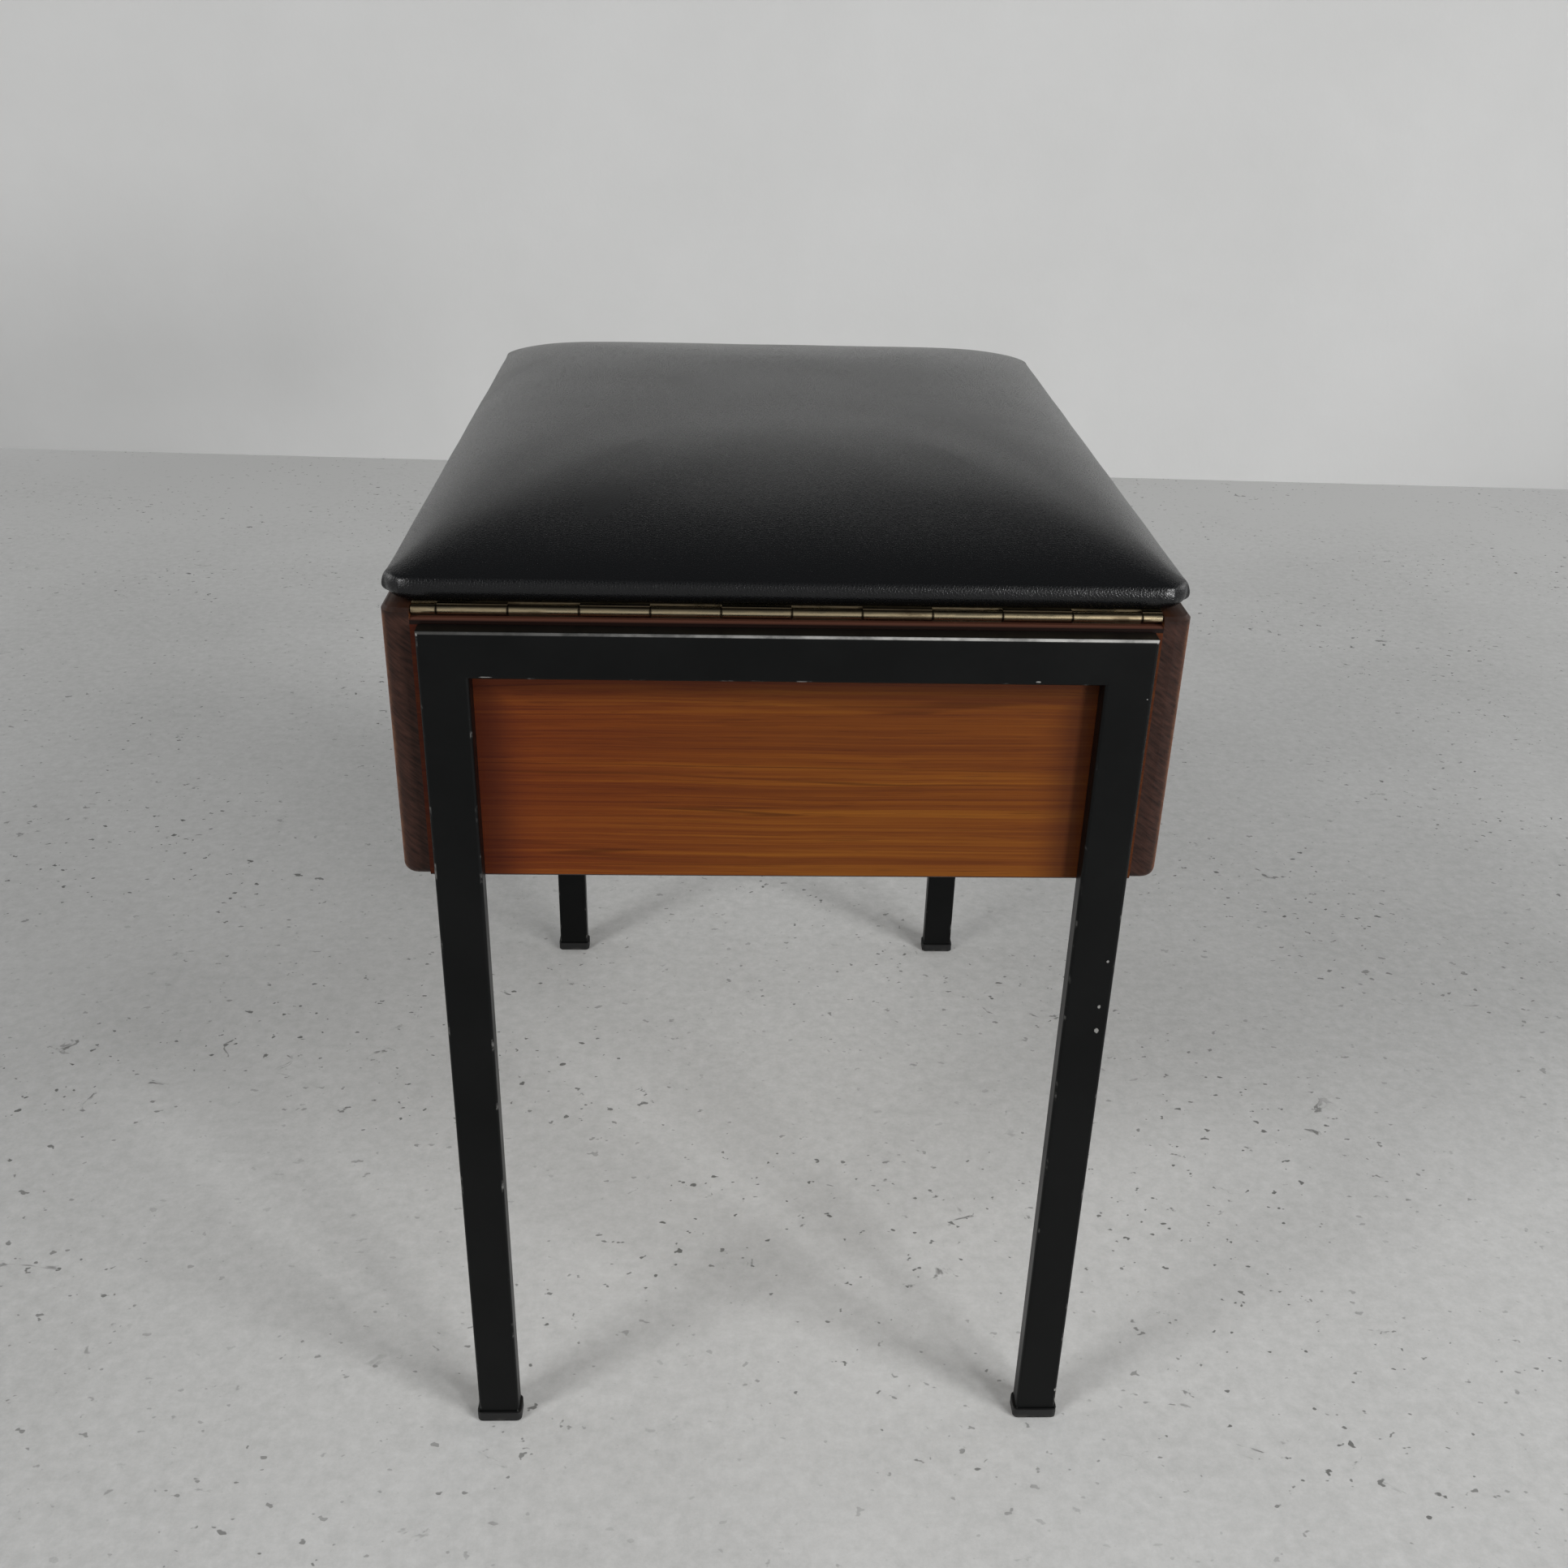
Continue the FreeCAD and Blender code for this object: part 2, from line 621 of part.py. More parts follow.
def foam_pad():
    """The foam, which wraps the board's edges."""
    gap = COVER_THICKNESS + COVER_CLEARANCE
    crown, edge = pad_faces(gap, INNER_STEPS)
    low = LID_BOTTOM + gap
    high = LID_BOARD_Z + LID_BOARD_THICKNESS
    pocket = board_outline(0, low)
    walls = pocket.extrude(Vector(0, 0, high - low)).Faces
    roof = Part.Face(board_outline(0, high))
    return closed_solid(crown + walls + [roof, ring_face(edge, pocket)])


def lid_lining():
    x = INNER_WIDTH - LINING_MARGIN
    y_range = (HINGE_Y + LEAF_WIDTH + LINING_MARGIN, INNER_LENGTH - LINING_MARGIN)
    return block((-x, x), y_range, (LID_BOTTOM - LINING_THICKNESS, LID_BOTTOM))


# Tray

def tray_base_bar(reach):
    """The tray's bottom sheet, let into the walls by the reach."""
    x = TRAY_HALF_WIDTH - TRAY_WALL + reach
    y_range = (TRAY_FRONT + TRAY_WALL - reach, TRAY_REAR - TRAY_WALL + reach)
    return block((-x, x), y_range, (TRAY_FLOOR - TRAY_BASE, TRAY_FLOOR))


def tray_side_wall(side):
    x_range = (side * (TRAY_HALF_WIDTH - TRAY_WALL), side * TRAY_HALF_WIDTH)
    wall = block(x_range, (TRAY_FRONT, TRAY_REAR), (TRAY_Z, TRAY_TOP))
    return wall.cut(tray_base_bar(TRAY_GROOVE))


def tray_end_wall(face_y, inward):
    """A cross wall with a finger notch in its upper edge."""
    x = TRAY_HALF_WIDTH - TRAY_WALL
    wall = block((-x, x), (face_y, face_y + inward * TRAY_WALL), (TRAY_Z, TRAY_TOP))
    notch = rod(FINGER_RADIUS, TRAY_WALL, Vector(0, face_y, TRAY_TOP), Vector(0, inward, 0))
    return wall.cut([tray_base_bar(TRAY_GROOVE), notch])


def cross_divider_places():
    span = 2 * (TRAY_HALF_WIDTH - TRAY_WALL)
    step = span / (CROSS_DIVIDERS + 1)
    return [step * (index + 1) - span / 2 for index in range(CROSS_DIVIDERS)]


def lap_slots(z_range):
    """Slots where the cross dividers and the long divider are half-lapped."""
    half = DIVIDER_THICKNESS / 2 + FIT_CLEARANCE
    y_range = (TRAY_MIDDLE - half, TRAY_MIDDLE + half)
    return [block((x - half, x + half), y_range, z_range) for x in cross_divider_places()]


def divider_levels():
    top = TRAY_TOP - DIVIDER_DROP
    return TRAY_FLOOR, (TRAY_FLOOR + top) / 2, top


def long_divider():
    low, middle, top = divider_levels()
    x = TRAY_HALF_WIDTH - TRAY_WALL
    half = DIVIDER_THICKNESS / 2
    divider = block((-x, x), (TRAY_MIDDLE - half, TRAY_MIDDLE + half), (low, top))
    return divider.cut(lap_slots((middle, top)))


def cross_divider(x):
    low, middle, top = divider_levels()
    half = DIVIDER_THICKNESS / 2
    y_range = (TRAY_FRONT + TRAY_WALL, TRAY_REAR - TRAY_WALL)
    divider = block((x - half, x + half), y_range, (low, top))
    return divider.cut(lap_slots((low, middle)))


# Every node of the stool, by name

def both_ends(make):
    return make(FRONT) + make(REAR)


def frame_nodes():
    nodes = {}
    for end, end_name in ((FRONT, "front"), (REAR, "rear")):
        nodes[end_name + "_rail"] = rail(end)
        for side, side_name in ((LEFT, "left"), (RIGHT, "right")):
            nodes[end_name + "_" + side_name + "_leg"] = leg(side, end)
            nodes[end_name + "_" + side_name + "_foot_cap"] = foot_cap(side, end)
    nodes["frame_bolts"] = both_ends(frame_bolts)
    nodes["frame_washers"] = both_ends(frame_washers)
    nodes["frame_rivet_nuts"] = both_ends(frame_nuts)
    return nodes


def box_nodes():
    return {
        "left_side_board": side_board(LEFT),
        "right_side_board": side_board(RIGHT),
        "front_panel": front_panel(),
        "rear_panel": end_panel(REAR, SIDE_TOP),
        "bottom_panel": bottom_panel(),
        "corner_dowels": corner_dowels(DOWEL_RADIUS),
        "left_tray_runner": tray_runner(LEFT),
        "right_tray_runner": tray_runner(RIGHT),
        "runner_screws": runner_screws(LEFT, screw) + runner_screws(RIGHT, screw),
        "lid_buffers": lid_buffers(),
    }


def lid_nodes():
    return {
        "hinge_fixed_leaf": hinge_leaf(DOWN, 0),
        "hinge_lid_leaf": hinge_leaf(UP, 1),
        "hinge_pin": hinge_pin(),
        "fixed_leaf_screws": leaf_screws(DOWN, screw),
        "lid_leaf_screws": leaf_screws(UP, screw),
        "lid_board": lid_board(),
        "foam_pad": foam_pad(),
        "seat_cover": seat_cover(),
        "lid_lining": lid_lining(),
    }


def tray_nodes():
    nodes = {
        "tray_left_wall": tray_side_wall(LEFT),
        "tray_right_wall": tray_side_wall(RIGHT),
        "tray_front_wall": tray_end_wall(TRAY_FRONT, 1),
        "tray_rear_wall": tray_end_wall(TRAY_REAR, -1),
        "tray_bottom": tray_base_bar(TRAY_GROOVE),
        "tray_long_divider": long_divider(),
    }
    for number, x in enumerate(cross_divider_places(), 1):
        nodes["tray_cross_divider_" + str(number)] = cross_divider(x)
    return nodes


def write_node(name, shape):
    """One STEP file per node: a single solid, or a group of separate alike solids."""
    solids = shape if isinstance(shape, list) else shape.Solids
    group = solids[0] if len(solids) == 1 else Part.makeCompound(solids)
    group.exportStep(os.path.join("parts", name + ".step"))


def main():
    os.makedirs("parts", exist_ok=True)
    for nodes in (frame_nodes(), box_nodes(), lid_nodes(), tray_nodes()):
        for name, shape in nodes.items():
            write_node(name, shape)


main()
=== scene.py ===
# Dresses the sewing stool: stretched leatherette, teak, black lacquer and aged brass, on a pale floor.
# Metres, in the frame of the solids: +Z up, and the hinge end faces -Y. Colours are linear.
import bpy
import json
import math
from mathutils import Matrix, Vector, noise


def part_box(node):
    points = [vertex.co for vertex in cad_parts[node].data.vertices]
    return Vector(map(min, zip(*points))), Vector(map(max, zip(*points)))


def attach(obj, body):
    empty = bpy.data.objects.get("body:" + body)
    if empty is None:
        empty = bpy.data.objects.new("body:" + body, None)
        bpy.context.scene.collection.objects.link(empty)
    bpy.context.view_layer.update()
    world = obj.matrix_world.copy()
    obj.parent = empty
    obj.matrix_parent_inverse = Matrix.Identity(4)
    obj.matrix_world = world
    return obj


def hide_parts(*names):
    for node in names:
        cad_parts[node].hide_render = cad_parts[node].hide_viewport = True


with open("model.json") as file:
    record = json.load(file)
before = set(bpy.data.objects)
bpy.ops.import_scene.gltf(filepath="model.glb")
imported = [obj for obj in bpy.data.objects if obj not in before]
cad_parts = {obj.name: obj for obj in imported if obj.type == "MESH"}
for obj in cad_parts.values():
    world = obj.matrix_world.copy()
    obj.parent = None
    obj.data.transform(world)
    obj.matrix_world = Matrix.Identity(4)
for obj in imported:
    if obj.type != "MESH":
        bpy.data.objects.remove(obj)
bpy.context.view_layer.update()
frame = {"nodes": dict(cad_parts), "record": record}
scene = bpy.context.scene
scene.view_settings.view_transform = "Standard"

# Camera, at the photograph's viewing angle
CAMERA_PLACE = Vector((-0.0259, -0.8194, 0.6655))
CAMERA_PITCH = math.radians(26.838)
CAMERA_YAW = math.radians(-2.406)
CAMERA_ROLL = math.radians(-1.564)
CAMERA_LENS = 37.15
CAMERA_SENSOR = 36.0

# Lamps: place, point aimed at, side length and watts
LAMPS = {
    "front_left": ((-1.95, -1.65, 2.0), (0, 0.1, 0.3), 0.7, 38),
    "front_right": ((1.95, -1.55, 2.0), (0, 0.1, 0.3), 0.7, 46),
    "low_left": ((-1.5, -2.0, 0.8), (0, -0.2, 0.4), 0.4, 5),
    "low_right": ((1.3, -2.0, 0.75), (0, -0.2, 0.4), 0.4, 27),
    "left_side": ((-2.5, 0.7, 1.2), (0, 0, 0.3), 1.4, 12),
    "right_side": ((2.5, 0.7, 1.2), (0, 0, 0.3), 1.4, 12),
}

# Room: its dim light, and a pale backdrop that ends between two angles above the horizon
WHITE = (1, 1, 1, 1)
ROOM_TINT = (0.95, 0.98, 1.0, 1)
ROOM_GLOW = 0.12
BACKDROP_GLOW = 0.40
BACKDROP_TOP = (math.sin(math.radians(18)), math.sin(math.radians(27)))

# Floor and wall, and the distances from their middles over which they fade into the backdrop. The floor
# also fades under the front lamps, and pales towards the wall.
FLOOR_REACH = 9.0
FLOOR_FADE = (1.6, 2.3)
FLOOR_FRONT = (-1.4, -0.8)
FLOOR_PALING = (0.2, 1.5)
WALL_Y = 1.53
WALL_TURN = math.radians(-2.2)
WALL_HEIGHT = 1.72
WALL_REACH = 2.2
WALL_FADE = (1.5, 2.2)

# Frame tubes, as the solids have them
LEG_X = 0.137
FRAME_Y = 0.221
RAIL_Z = 0.420
TUBE_HALF_WIDTH = 0.010
TUBE_HALF_DEPTH = 0.005
TUBE_CORNER = 0.0015
LEG_INNER_X = LEG_X - TUBE_HALF_WIDTH
RAIL_TOP = RAIL_Z + TUBE_HALF_WIDTH
RAIL_BOTTOM = RAIL_Z - TUBE_HALF_WIDTH

# Lacquer: bare spots at the hinge end, as x, z, half width and half height, and where the wear and painted
# highlight along the tubes' top edges set in
CHIPS = [
    (0.1433, 0.2789, 0.0006, 0.0007),
    (0.1421, 0.2550, 0.0007, 0.0010),
    (0.1424, 0.2422, 0.0010, 0.0013),
    (0.1462, 0.0190, 0.0006, 0.0012),
    (0.1449, 0.4046, 0.0003, 0.0003),
    (0.1000, 0.4117, 0.0010, 0.0003),
    (-0.1204, 0.4112, 0.0022, 0.0002),
    (-0.1464, 0.4288, 0.0005, 0.0006),
    (0.1462, 0.4292, 0.0005, 0.0006),
]
RIDGE_WEAR_AND_HIGHLIGHT = (-0.13, 0.08)

# Hinge: its axis, where its knuckles meet, and the distances over which painted shade grows above and below
# the axis, grime dies out beside each gap, and both die out inward on the leaves
HINGE_AXIS = sum(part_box("hinge_pin"), Vector()) / 2
KNUCKLE_PITCH = 0.0282
FIRST_KNUCKLE = 0.0101
HINGE_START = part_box("hinge_pin")[0].x + FIRST_KNUCKLE
BARREL_SHADE = (0.0009, 0.0018)
GAP_GRIME = (0.0003, 0.0008)
LEAF_CLEAN = (0.0010, 0.0030)

# Panels, boards and feet: painted shadow of the frame beside the legs and below the rail, the redder left,
# the panel's top edge band with painted shade and a painted highlight, painted shade on the board tops under
# the lid, and dust
FRAME_SHADOW_BESIDE = 0.026
FRAME_SHADOW_BELOW = 0.024
FRAME_SHADOW_SHARE = 0.6
BLUSH_REACH = (-0.16, 0.03)
BLUSH_SHARE = 0.8
PANEL_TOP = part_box("front_panel")[1].z
LIPPING_Z = PANEL_TOP - 0.0030
LIPPING_BLUR = 0.0006
LIPPING_HIGHLIGHT_LINE = (PANEL_TOP - 0.0012, PANEL_TOP - 0.0004)
BOARD_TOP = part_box("left_side_board")[1].z
BOARD_TOP_SHADE = (BOARD_TOP - 0.0050, BOARD_TOP - 0.0010)
FLOOR_DUST = 0.004

# Wood figure: lines per metre along and across the grain, detail, roughness and share of the tone
WOOD_LINES = {
    "bands": (1.3, 70, 2.0, 0.5, 0.30),
    "streaks": (2.2, 380, 3.0, 0.6, 0.40),
    "hairs": (6, 1300, 2.0, 0.6, 0.30),
    "pores": (40, 2400, 1.0, 0.5, 0.0),
}
WOOD_WAVES = (5, 16)
WOOD_SPREAD = 0.15
END_RINGS = (0.008, 0.12, 0.0011)
END_RINGS_TURN = (0, math.radians(38), 0)

# Colours, from dark to light
VENEER = ((0.066, 0.0145, 0.0029), (0.117, 0.0322, 0.0042), (0.171, 0.0589, 0.0066))
VENEER_BLUSH = (0.88, 0.60, 0.90)
# Painted shadow of the frame on the veneer
FRAME_SHADOW = (0.034, 0.0066, 0.0034)
# Top edge band of the panel: painted shade, then painted highlight
LIPPING_SHADE_AND_HIGHLIGHT = ((0.006, 0.0026, 0.0019), (0.050, 0.0185, 0.0115))
SOLID_TEAK = ((0.060, 0.0175, 0.0065), (0.118, 0.0385, 0.0115), (0.178, 0.0630, 0.0180))
END_GRAIN = ((0.012, 0.0057, 0.0040), (0.044, 0.0190, 0.0132))
PALE_WOOD = ((0.40, 0.270, 0.140), (0.54, 0.390, 0.215), (0.63, 0.480, 0.290))
PLY_WOOD = ((0.32, 0.215, 0.110), (0.44, 0.310, 0.170), (0.54, 0.400, 0.235))
LACQUER = ((0.0013, 0.0015, 0.0015), (0.0025, 0.0027, 0.0027))
# Bare steel of wear and chips, and the colour of the painted highlight on the top edges
BARE_STEEL_AND_HIGHLIGHT = (0.34, 0.335, 0.32)
LEATHERETTE = ((0.0018, 0.0019, 0.0023), (0.0031, 0.0033, 0.0038))
BRASS = ((0.17, 0.130, 0.080), (0.48, 0.390, 0.245), (0.70, 0.590, 0.395))
# Painted shade on the hinge's barrel, and grime in its gaps
BRASS_SHADE_AND_GRIME = (0.035, 0.025, 0.016)
PLASTIC = (0.0075, 0.0075, 0.0075)
DUST = (0.10, 0.095, 0.085)
ZINC = ((0.42, 0.42, 0.40), (0.62, 0.62, 0.58))
HARDBOARD = ((0.20, 0.125, 0.065), (0.33, 0.225, 0.125))
FELT = ((0.030, 0.024, 0.020), (0.085, 0.072, 0.062))
FOAM = ((0.52, 0.44, 0.24), (0.70, 0.62, 0.38))
CONCRETE = ((0.355, 0.355, 0.347), (0.525, 0.525, 0.517))
CONCRETE_PITS = (0.09, 0.09, 0.085)
PLASTER = ((0.585, 0.585, 0.578), (0.640, 0.640, 0.635))
BLACK = (0, 0, 0)

# Seat: the pad's roundings, as the solids have them, and its crown, flatter across the seat than along it
SEAT_LOW, SEAT_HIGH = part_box("seat_cover")
SEAT_HALF = (SEAT_HIGH - SEAT_LOW) / 2
SEAT_CENTRE = (SEAT_HIGH + SEAT_LOW) / 2
SEAT_CORNER = 0.012
CORNER_TIGHTENING = 0.5
SEAT_LOWER_ROUND = 0.0055
SEAT_UPPER_ROUND = 0.010
SEAT_SHOULDER = 63
CROWN_POWERS = (11.0, 5.0)
CROWN_BEND = 2.0
HEM_WIDTH = 0.024
HEM_DEPTH = 0.0015
HEM_RINGS = 4
HEM_CORNER = 0.006
HEM_TIGHTENING = 0.25
CORNER_STEPS = 10
SIDE_STEPS = 36
LOWER_DEGREES = range(-90, 0, 15)
UPPER_DEGREES = range(0, SEAT_SHOULDER + 1, 9)
CROWN_SHARES = (0.985, 0.96, 0.93, 0.89, 0.84, 0.78, 0.71, 0.63, 0.54, 0.45)

# Seat: how the cover swells over its foam, above the part held tight round the board
SEAT_SLACK = 0.0012
SEAT_PRESSURE = 4.0
SWELL_FRAMES = 20
SWELL_QUALITY = 6
SWELL_CAP = 0.0015
HELD_DEGREES = 27
SMOOTHING_ROUNDS = 24
SMOOTHING_SHARE = 0.5

# Seat: folds at the corners, as degrees round the corner, degrees before and after, and reach
PLEATS = [(8, 16, 9, 0.0030), (66, 6, 14, 0.0009)]
PLEAT_HEIGHT = 0.013
PLEAT_FOOT = 0.18
PLEAT_SHARPNESS = 1.4
PLEAT_FADE = 1.1
COVER_WAVE = 0.00025
COVER_WAVE_PITCH = 26.0


def seat_level(degrees):
    """The height of the pad's upper rounding, at degrees above its widest line."""
    return SEAT_LOW.z + SEAT_LOWER_ROUND + SEAT_UPPER_ROUND * math.sin(math.radians(degrees))


SHOULDER_INSET = SEAT_UPPER_ROUND * (1 - math.cos(math.radians(SEAT_SHOULDER)))
SHOULDER_Z = seat_level(SEAT_SHOULDER)
HELD_Z = seat_level(HELD_DEGREES)


# Node trees

class Nodes:
    """A tree of nodes, with short calls that add a node and give back its output."""

    def __init__(self, tree):
        self.tree = tree

    def feed(self, socket, value):
        if isinstance(value, bpy.types.NodeSocket):
            self.tree.links.new(value, socket)
        else:
            socket.default_value = value

    def add(self, kind, inputs, **settings):
        node = self.tree.nodes.new(kind)
        for name, value in settings.items():
            setattr(node, name, value)
        for key, value in inputs.items():
            self.feed(node.inputs[key], value)
        return node

    def maths(self, operation, first, second=0.0):
        return self.add("ShaderNodeMath", {0: first, 1: second}, operation=operation).outputs[0]

    def apart(self, first, second):
        """The distance between two numbers."""
        return self.maths("ABSOLUTE", self.maths("SUBTRACT", first, second))

    def weighed(self, *shares):
        """The sum of values, each times its share."""
        products = [self.maths("MULTIPLY", value, share) for value, share in shares]
        total = products[0]
        for product in products[1:]:
            total = self.maths("ADD", total, product)
        return total

    def step(self, value, low, high, start=0.0, end=1.0):
        """A smooth step from start to end as the value goes from low to high."""
        values = {"Value": value, 1: low, 2: high, 3: start, 4: end}
        return self.add("ShaderNodeMapRange", values, interpolation_type="SMOOTHSTEP").outputs[0]

    def shown(self):
        """One for a ray that shows a background: to the camera, or through gloss or glass."""
        rays = self.add("ShaderNodeLightPath", {}).outputs
        mirrored = self.maths("MAXIMUM", rays["Is Glossy Ray"], rays["Is Transmission Ray"])
        return self.maths("MAXIMUM", rays["Is Camera Ray"], mirrored)


class Look(Nodes):
    """A procedural material in the object's own coordinates."""

    def __init__(self, name, roughness=0.5, metallic=0.0, gloss=0.5):
        self.material = bpy.data.materials.new(name)
        self.material.use_nodes = True
        super().__init__(self.material.node_tree)
        self.shader = self.tree.nodes["Principled BSDF"]
        self.shader.inputs["Roughness"].default_value = roughness
        self.shader.inputs["Metallic"].default_value = metallic
        self.shader.inputs["Specular IOR Level"].default_value = gloss
        self.place = self.add("ShaderNodeTexCoord", {}).outputs["Object"]

    def axes(self):
        return self.add("ShaderNodeSeparateXYZ", {0: self.place}).outputs

    def mapped(self, scale, shift=(0, 0, 0), place=None):
        values = {"Vector": place or self.place, "Scale": scale, "Location": shift}
        return self.add("ShaderNodeMapping", values).outputs[0]

    def turned(self, size, turn):
        """Coordinates turned about the origin, then divided by a size along each turned axis."""
        values = {"Vector": self.place, "Scale": size, "Rotation": turn}
        return self.add("ShaderNodeMapping", values, vector_type="TEXTURE").outputs[0]

    def warped(self, scale, amount):
        """Coordinates pushed about by up to half the amount, in slow waves."""
        waves = self.add("ShaderNodeTexNoise", {"Vector": self.mapped(scale), "Scale": 1.0}).outputs[1]
        values = {0: waves, 1: (amount, amount, amount), 2: self.place}
        return self.add("ShaderNodeVectorMath", values, operation="MULTIPLY_ADD").outputs[0]

    def noise(self, place, detail=2.0, roughness=0.5, distortion=0.0):
        values = {"Vector": place, "Scale": 1.0, "Detail": detail, "Roughness": roughness}
        values["Distortion"] = distortion
        return self.add("ShaderNodeTexNoise", values).outputs[0]

    def clouds(self, per_metre, detail=2.0, roughness=0.5):
        """Noise that is as fine along every axis."""
        return self.noise(self.mapped((per_metre, per_metre, per_metre)), detail, roughness)

    def cells(self, per_metre, feature):
        values = {"Vector": self.mapped((per_metre, per_metre, per_metre)), "Scale": 1.0}
        return self.add("ShaderNodeTexVoronoi", values, feature=feature).outputs["Distance"]

    def ramp(self, value, positions, colours):
        """Colours at positions of a value, with an even blend between them."""
        node = self.add("ShaderNodeValToRGB", {0: value})
        points = node.color_ramp.elements
        while len(points) < len(colours):
            points.new(0.5)
        for point, position, colour in zip(points, positions, colours):
            point.position = position
            point.color = (*colour, 1)
        return node.outputs[0]

    def mix(self, share, first, second, blend="MIX"):
        inputs = {0: share}
        for key, colour in ((6, first), (7, second)):
            inputs[key] = colour if isinstance(colour, bpy.types.NodeSocket) else (*colour, 1)
        return self.add("ShaderNodeMix", inputs, data_type="RGBA", blend_type=blend).outputs[2]

    def facing(self, axis):
        """How squarely a face looks along an axis, either way."""
        normal = self.add("ShaderNodeNewGeometry", {}).outputs["Normal"]
        return self.maths("ABSOLUTE", self.add("ShaderNodeSeparateXYZ", {0: normal}).outputs[axis])

    def colour(self, value):
        self.feed(self.shader.inputs["Base Color"], value)

    def roughness(self, value):
        self.feed(self.shader.inputs["Roughness"], value)

    def bump(self, height, distance, strength=1.0):
        node = self.add("ShaderNodeBump", {"Height": height, "Distance": distance, "Strength": strength})
        self.feed(self.shader.inputs["Normal"], node.outputs[0])

    def beyond(self, reach):
        """A step from none to all over a reach from the object's middle."""
        away = self.add("ShaderNodeVectorMath", {0: self.place}, operation="LENGTH").outputs["Value"]
        return self.step(away, *reach)

    def fade(self, colour, share):
        """Gives a backdrop its colour, of which a share turns into the pale room around it."""
        self.colour(self.mix(share, colour, BLACK))
        self.shader.inputs["Emission Color"].default_value = WHITE
        glow = self.maths("MULTIPLY", self.maths("MULTIPLY", self.shown(), share), BACKDROP_GLOW)
        self.feed(self.shader.inputs["Emission Strength"], glow)


# Woods

def stretched(axis, along, across):
    """Scales for a texture that runs along one axis."""
    return tuple(along if name == axis else across for name in "XYZ")


def wood(name, axis, tones, roughness, contrast=1.0, shift=(0, 0, 0), gloss=0.25, waves=0.010):
    """Oiled wood with bands, streaks, dark veins and pores along the axis."""
    look = Look(name, roughness, gloss=gloss)
    place = look.warped(stretched(axis, *WOOD_WAVES), waves)
    lines = {}
    shares = []
    for kind, (along, across, detail, rough, share) in WOOD_LINES.items():
        lines[kind] = look.noise(look.mapped(stretched(axis, along, across), shift, place), detail, rough)
        if share > 0:
            shares.append((lines[kind], share))
    spread = WOOD_SPREAD / contrast
    tone = look.step(look.weighed(*shares), 0.5 - spread, 0.5 + spread)
    colour = look.ramp(tone, (0.0, 0.5, 1.0), tones)
    vein = look.step(look.apart(lines["bands"], 0.5), 0.004, 0.016, start=0.75 * contrast, end=0.0)
    vein = look.maths("MULTIPLY", vein, look.step(lines["streaks"], 0.35, 0.6))
    marks = look.maths("MAXIMUM", vein, look.step(lines["pores"], 0.62, 0.70, end=0.5 * contrast))
    colour = look.mix(marks, colour, tuple(part / 2 for part in tones[0]))
    look.colour(colour)
    look.roughness(look.step(lines["streaks"], 0.3, 0.7, start=roughness + 0.06, end=roughness - 0.05))
    look.bump(look.weighed((lines["hairs"], 0.4), (marks, -1.0)), distance=0.00006, strength=0.6)
    return look, colour


def plain_wood(*args, **kwargs):
    return wood(*args, **kwargs)[0].material


def teak_veneer():
    """Teak veneer along X, redder to the left, with a painted shadow of the frame beside the legs and below
    the rail, and a dark edge band on top, with painted shade low on it and a painted highlight along its top
    edge.
    """
    look, colour = wood("teak_veneer", "X", VENEER, 0.42, 0.72, (0.3, 0.0, 0.4), gloss=0.12, waves=0.006)
    axes = look.axes()
    aside = look.maths("ABSOLUTE", axes["X"])
    # Painted shadow of the frame: the veneer darkens towards the legs and towards the rail.
    beside = look.step(aside, LEG_INNER_X - FRAME_SHADOW_BESIDE, LEG_INNER_X, end=FRAME_SHADOW_SHARE)
    below = look.step(axes["Z"], RAIL_BOTTOM - FRAME_SHADOW_BELOW, RAIL_BOTTOM, end=FRAME_SHADOW_SHARE)
    colour = look.mix(look.maths("MAXIMUM", beside, below), colour, FRAME_SHADOW)
    left = look.step(axes["X"], *BLUSH_REACH, start=BLUSH_SHARE, end=0.0)
    colour = look.mix(left, colour, look.mix(1.0, colour, VENEER_BLUSH, "MULTIPLY"))
    # The top edge band: darker wood, with painted shade lower down and a painted highlight along its top
    # edge and on faces that look up.
    lipping_shade_and_highlight = look.ramp(look.step(axes["Z"], *LIPPING_HIGHLIGHT_LINE), (0.0, 1.0), LIPPING_SHADE_AND_HIGHLIGHT)
    top = look.step(look.facing("Z"), 0.4, 0.8)
    edge = look.maths("MAXIMUM", top, look.step(axes["Z"], LIPPING_Z, LIPPING_Z + LIPPING_BLUR))
    look.colour(look.mix(edge, colour, lipping_shade_and_highlight))
    return look.material


def teak_board():
    """Solid teak along Y, with darker end grain at the boards' ends and painted shade on their tops under
    the lid.
    """
    look, colour = wood("teak_board", "Y", SOLID_TEAK, 0.42, gloss=0.15)
    rings = look.noise(look.turned(END_RINGS, END_RINGS_TURN), 2.0, 0.6)
    grain = look.ramp(rings, (0.30, 0.70), END_GRAIN)
    colour = look.mix(look.step(look.facing("Y"), 0.35, 0.85), colour, grain)
    # Painted shade on the boards' tops under the lid, in the end grain's darkest colour.
    shade_under_lid = look.step(look.axes()["Z"], *BOARD_TOP_SHADE, end=0.85)
    look.colour(look.mix(shade_under_lid, colour, END_GRAIN[0]))
    return look.material


# Lacquer, cover, metals and the rest

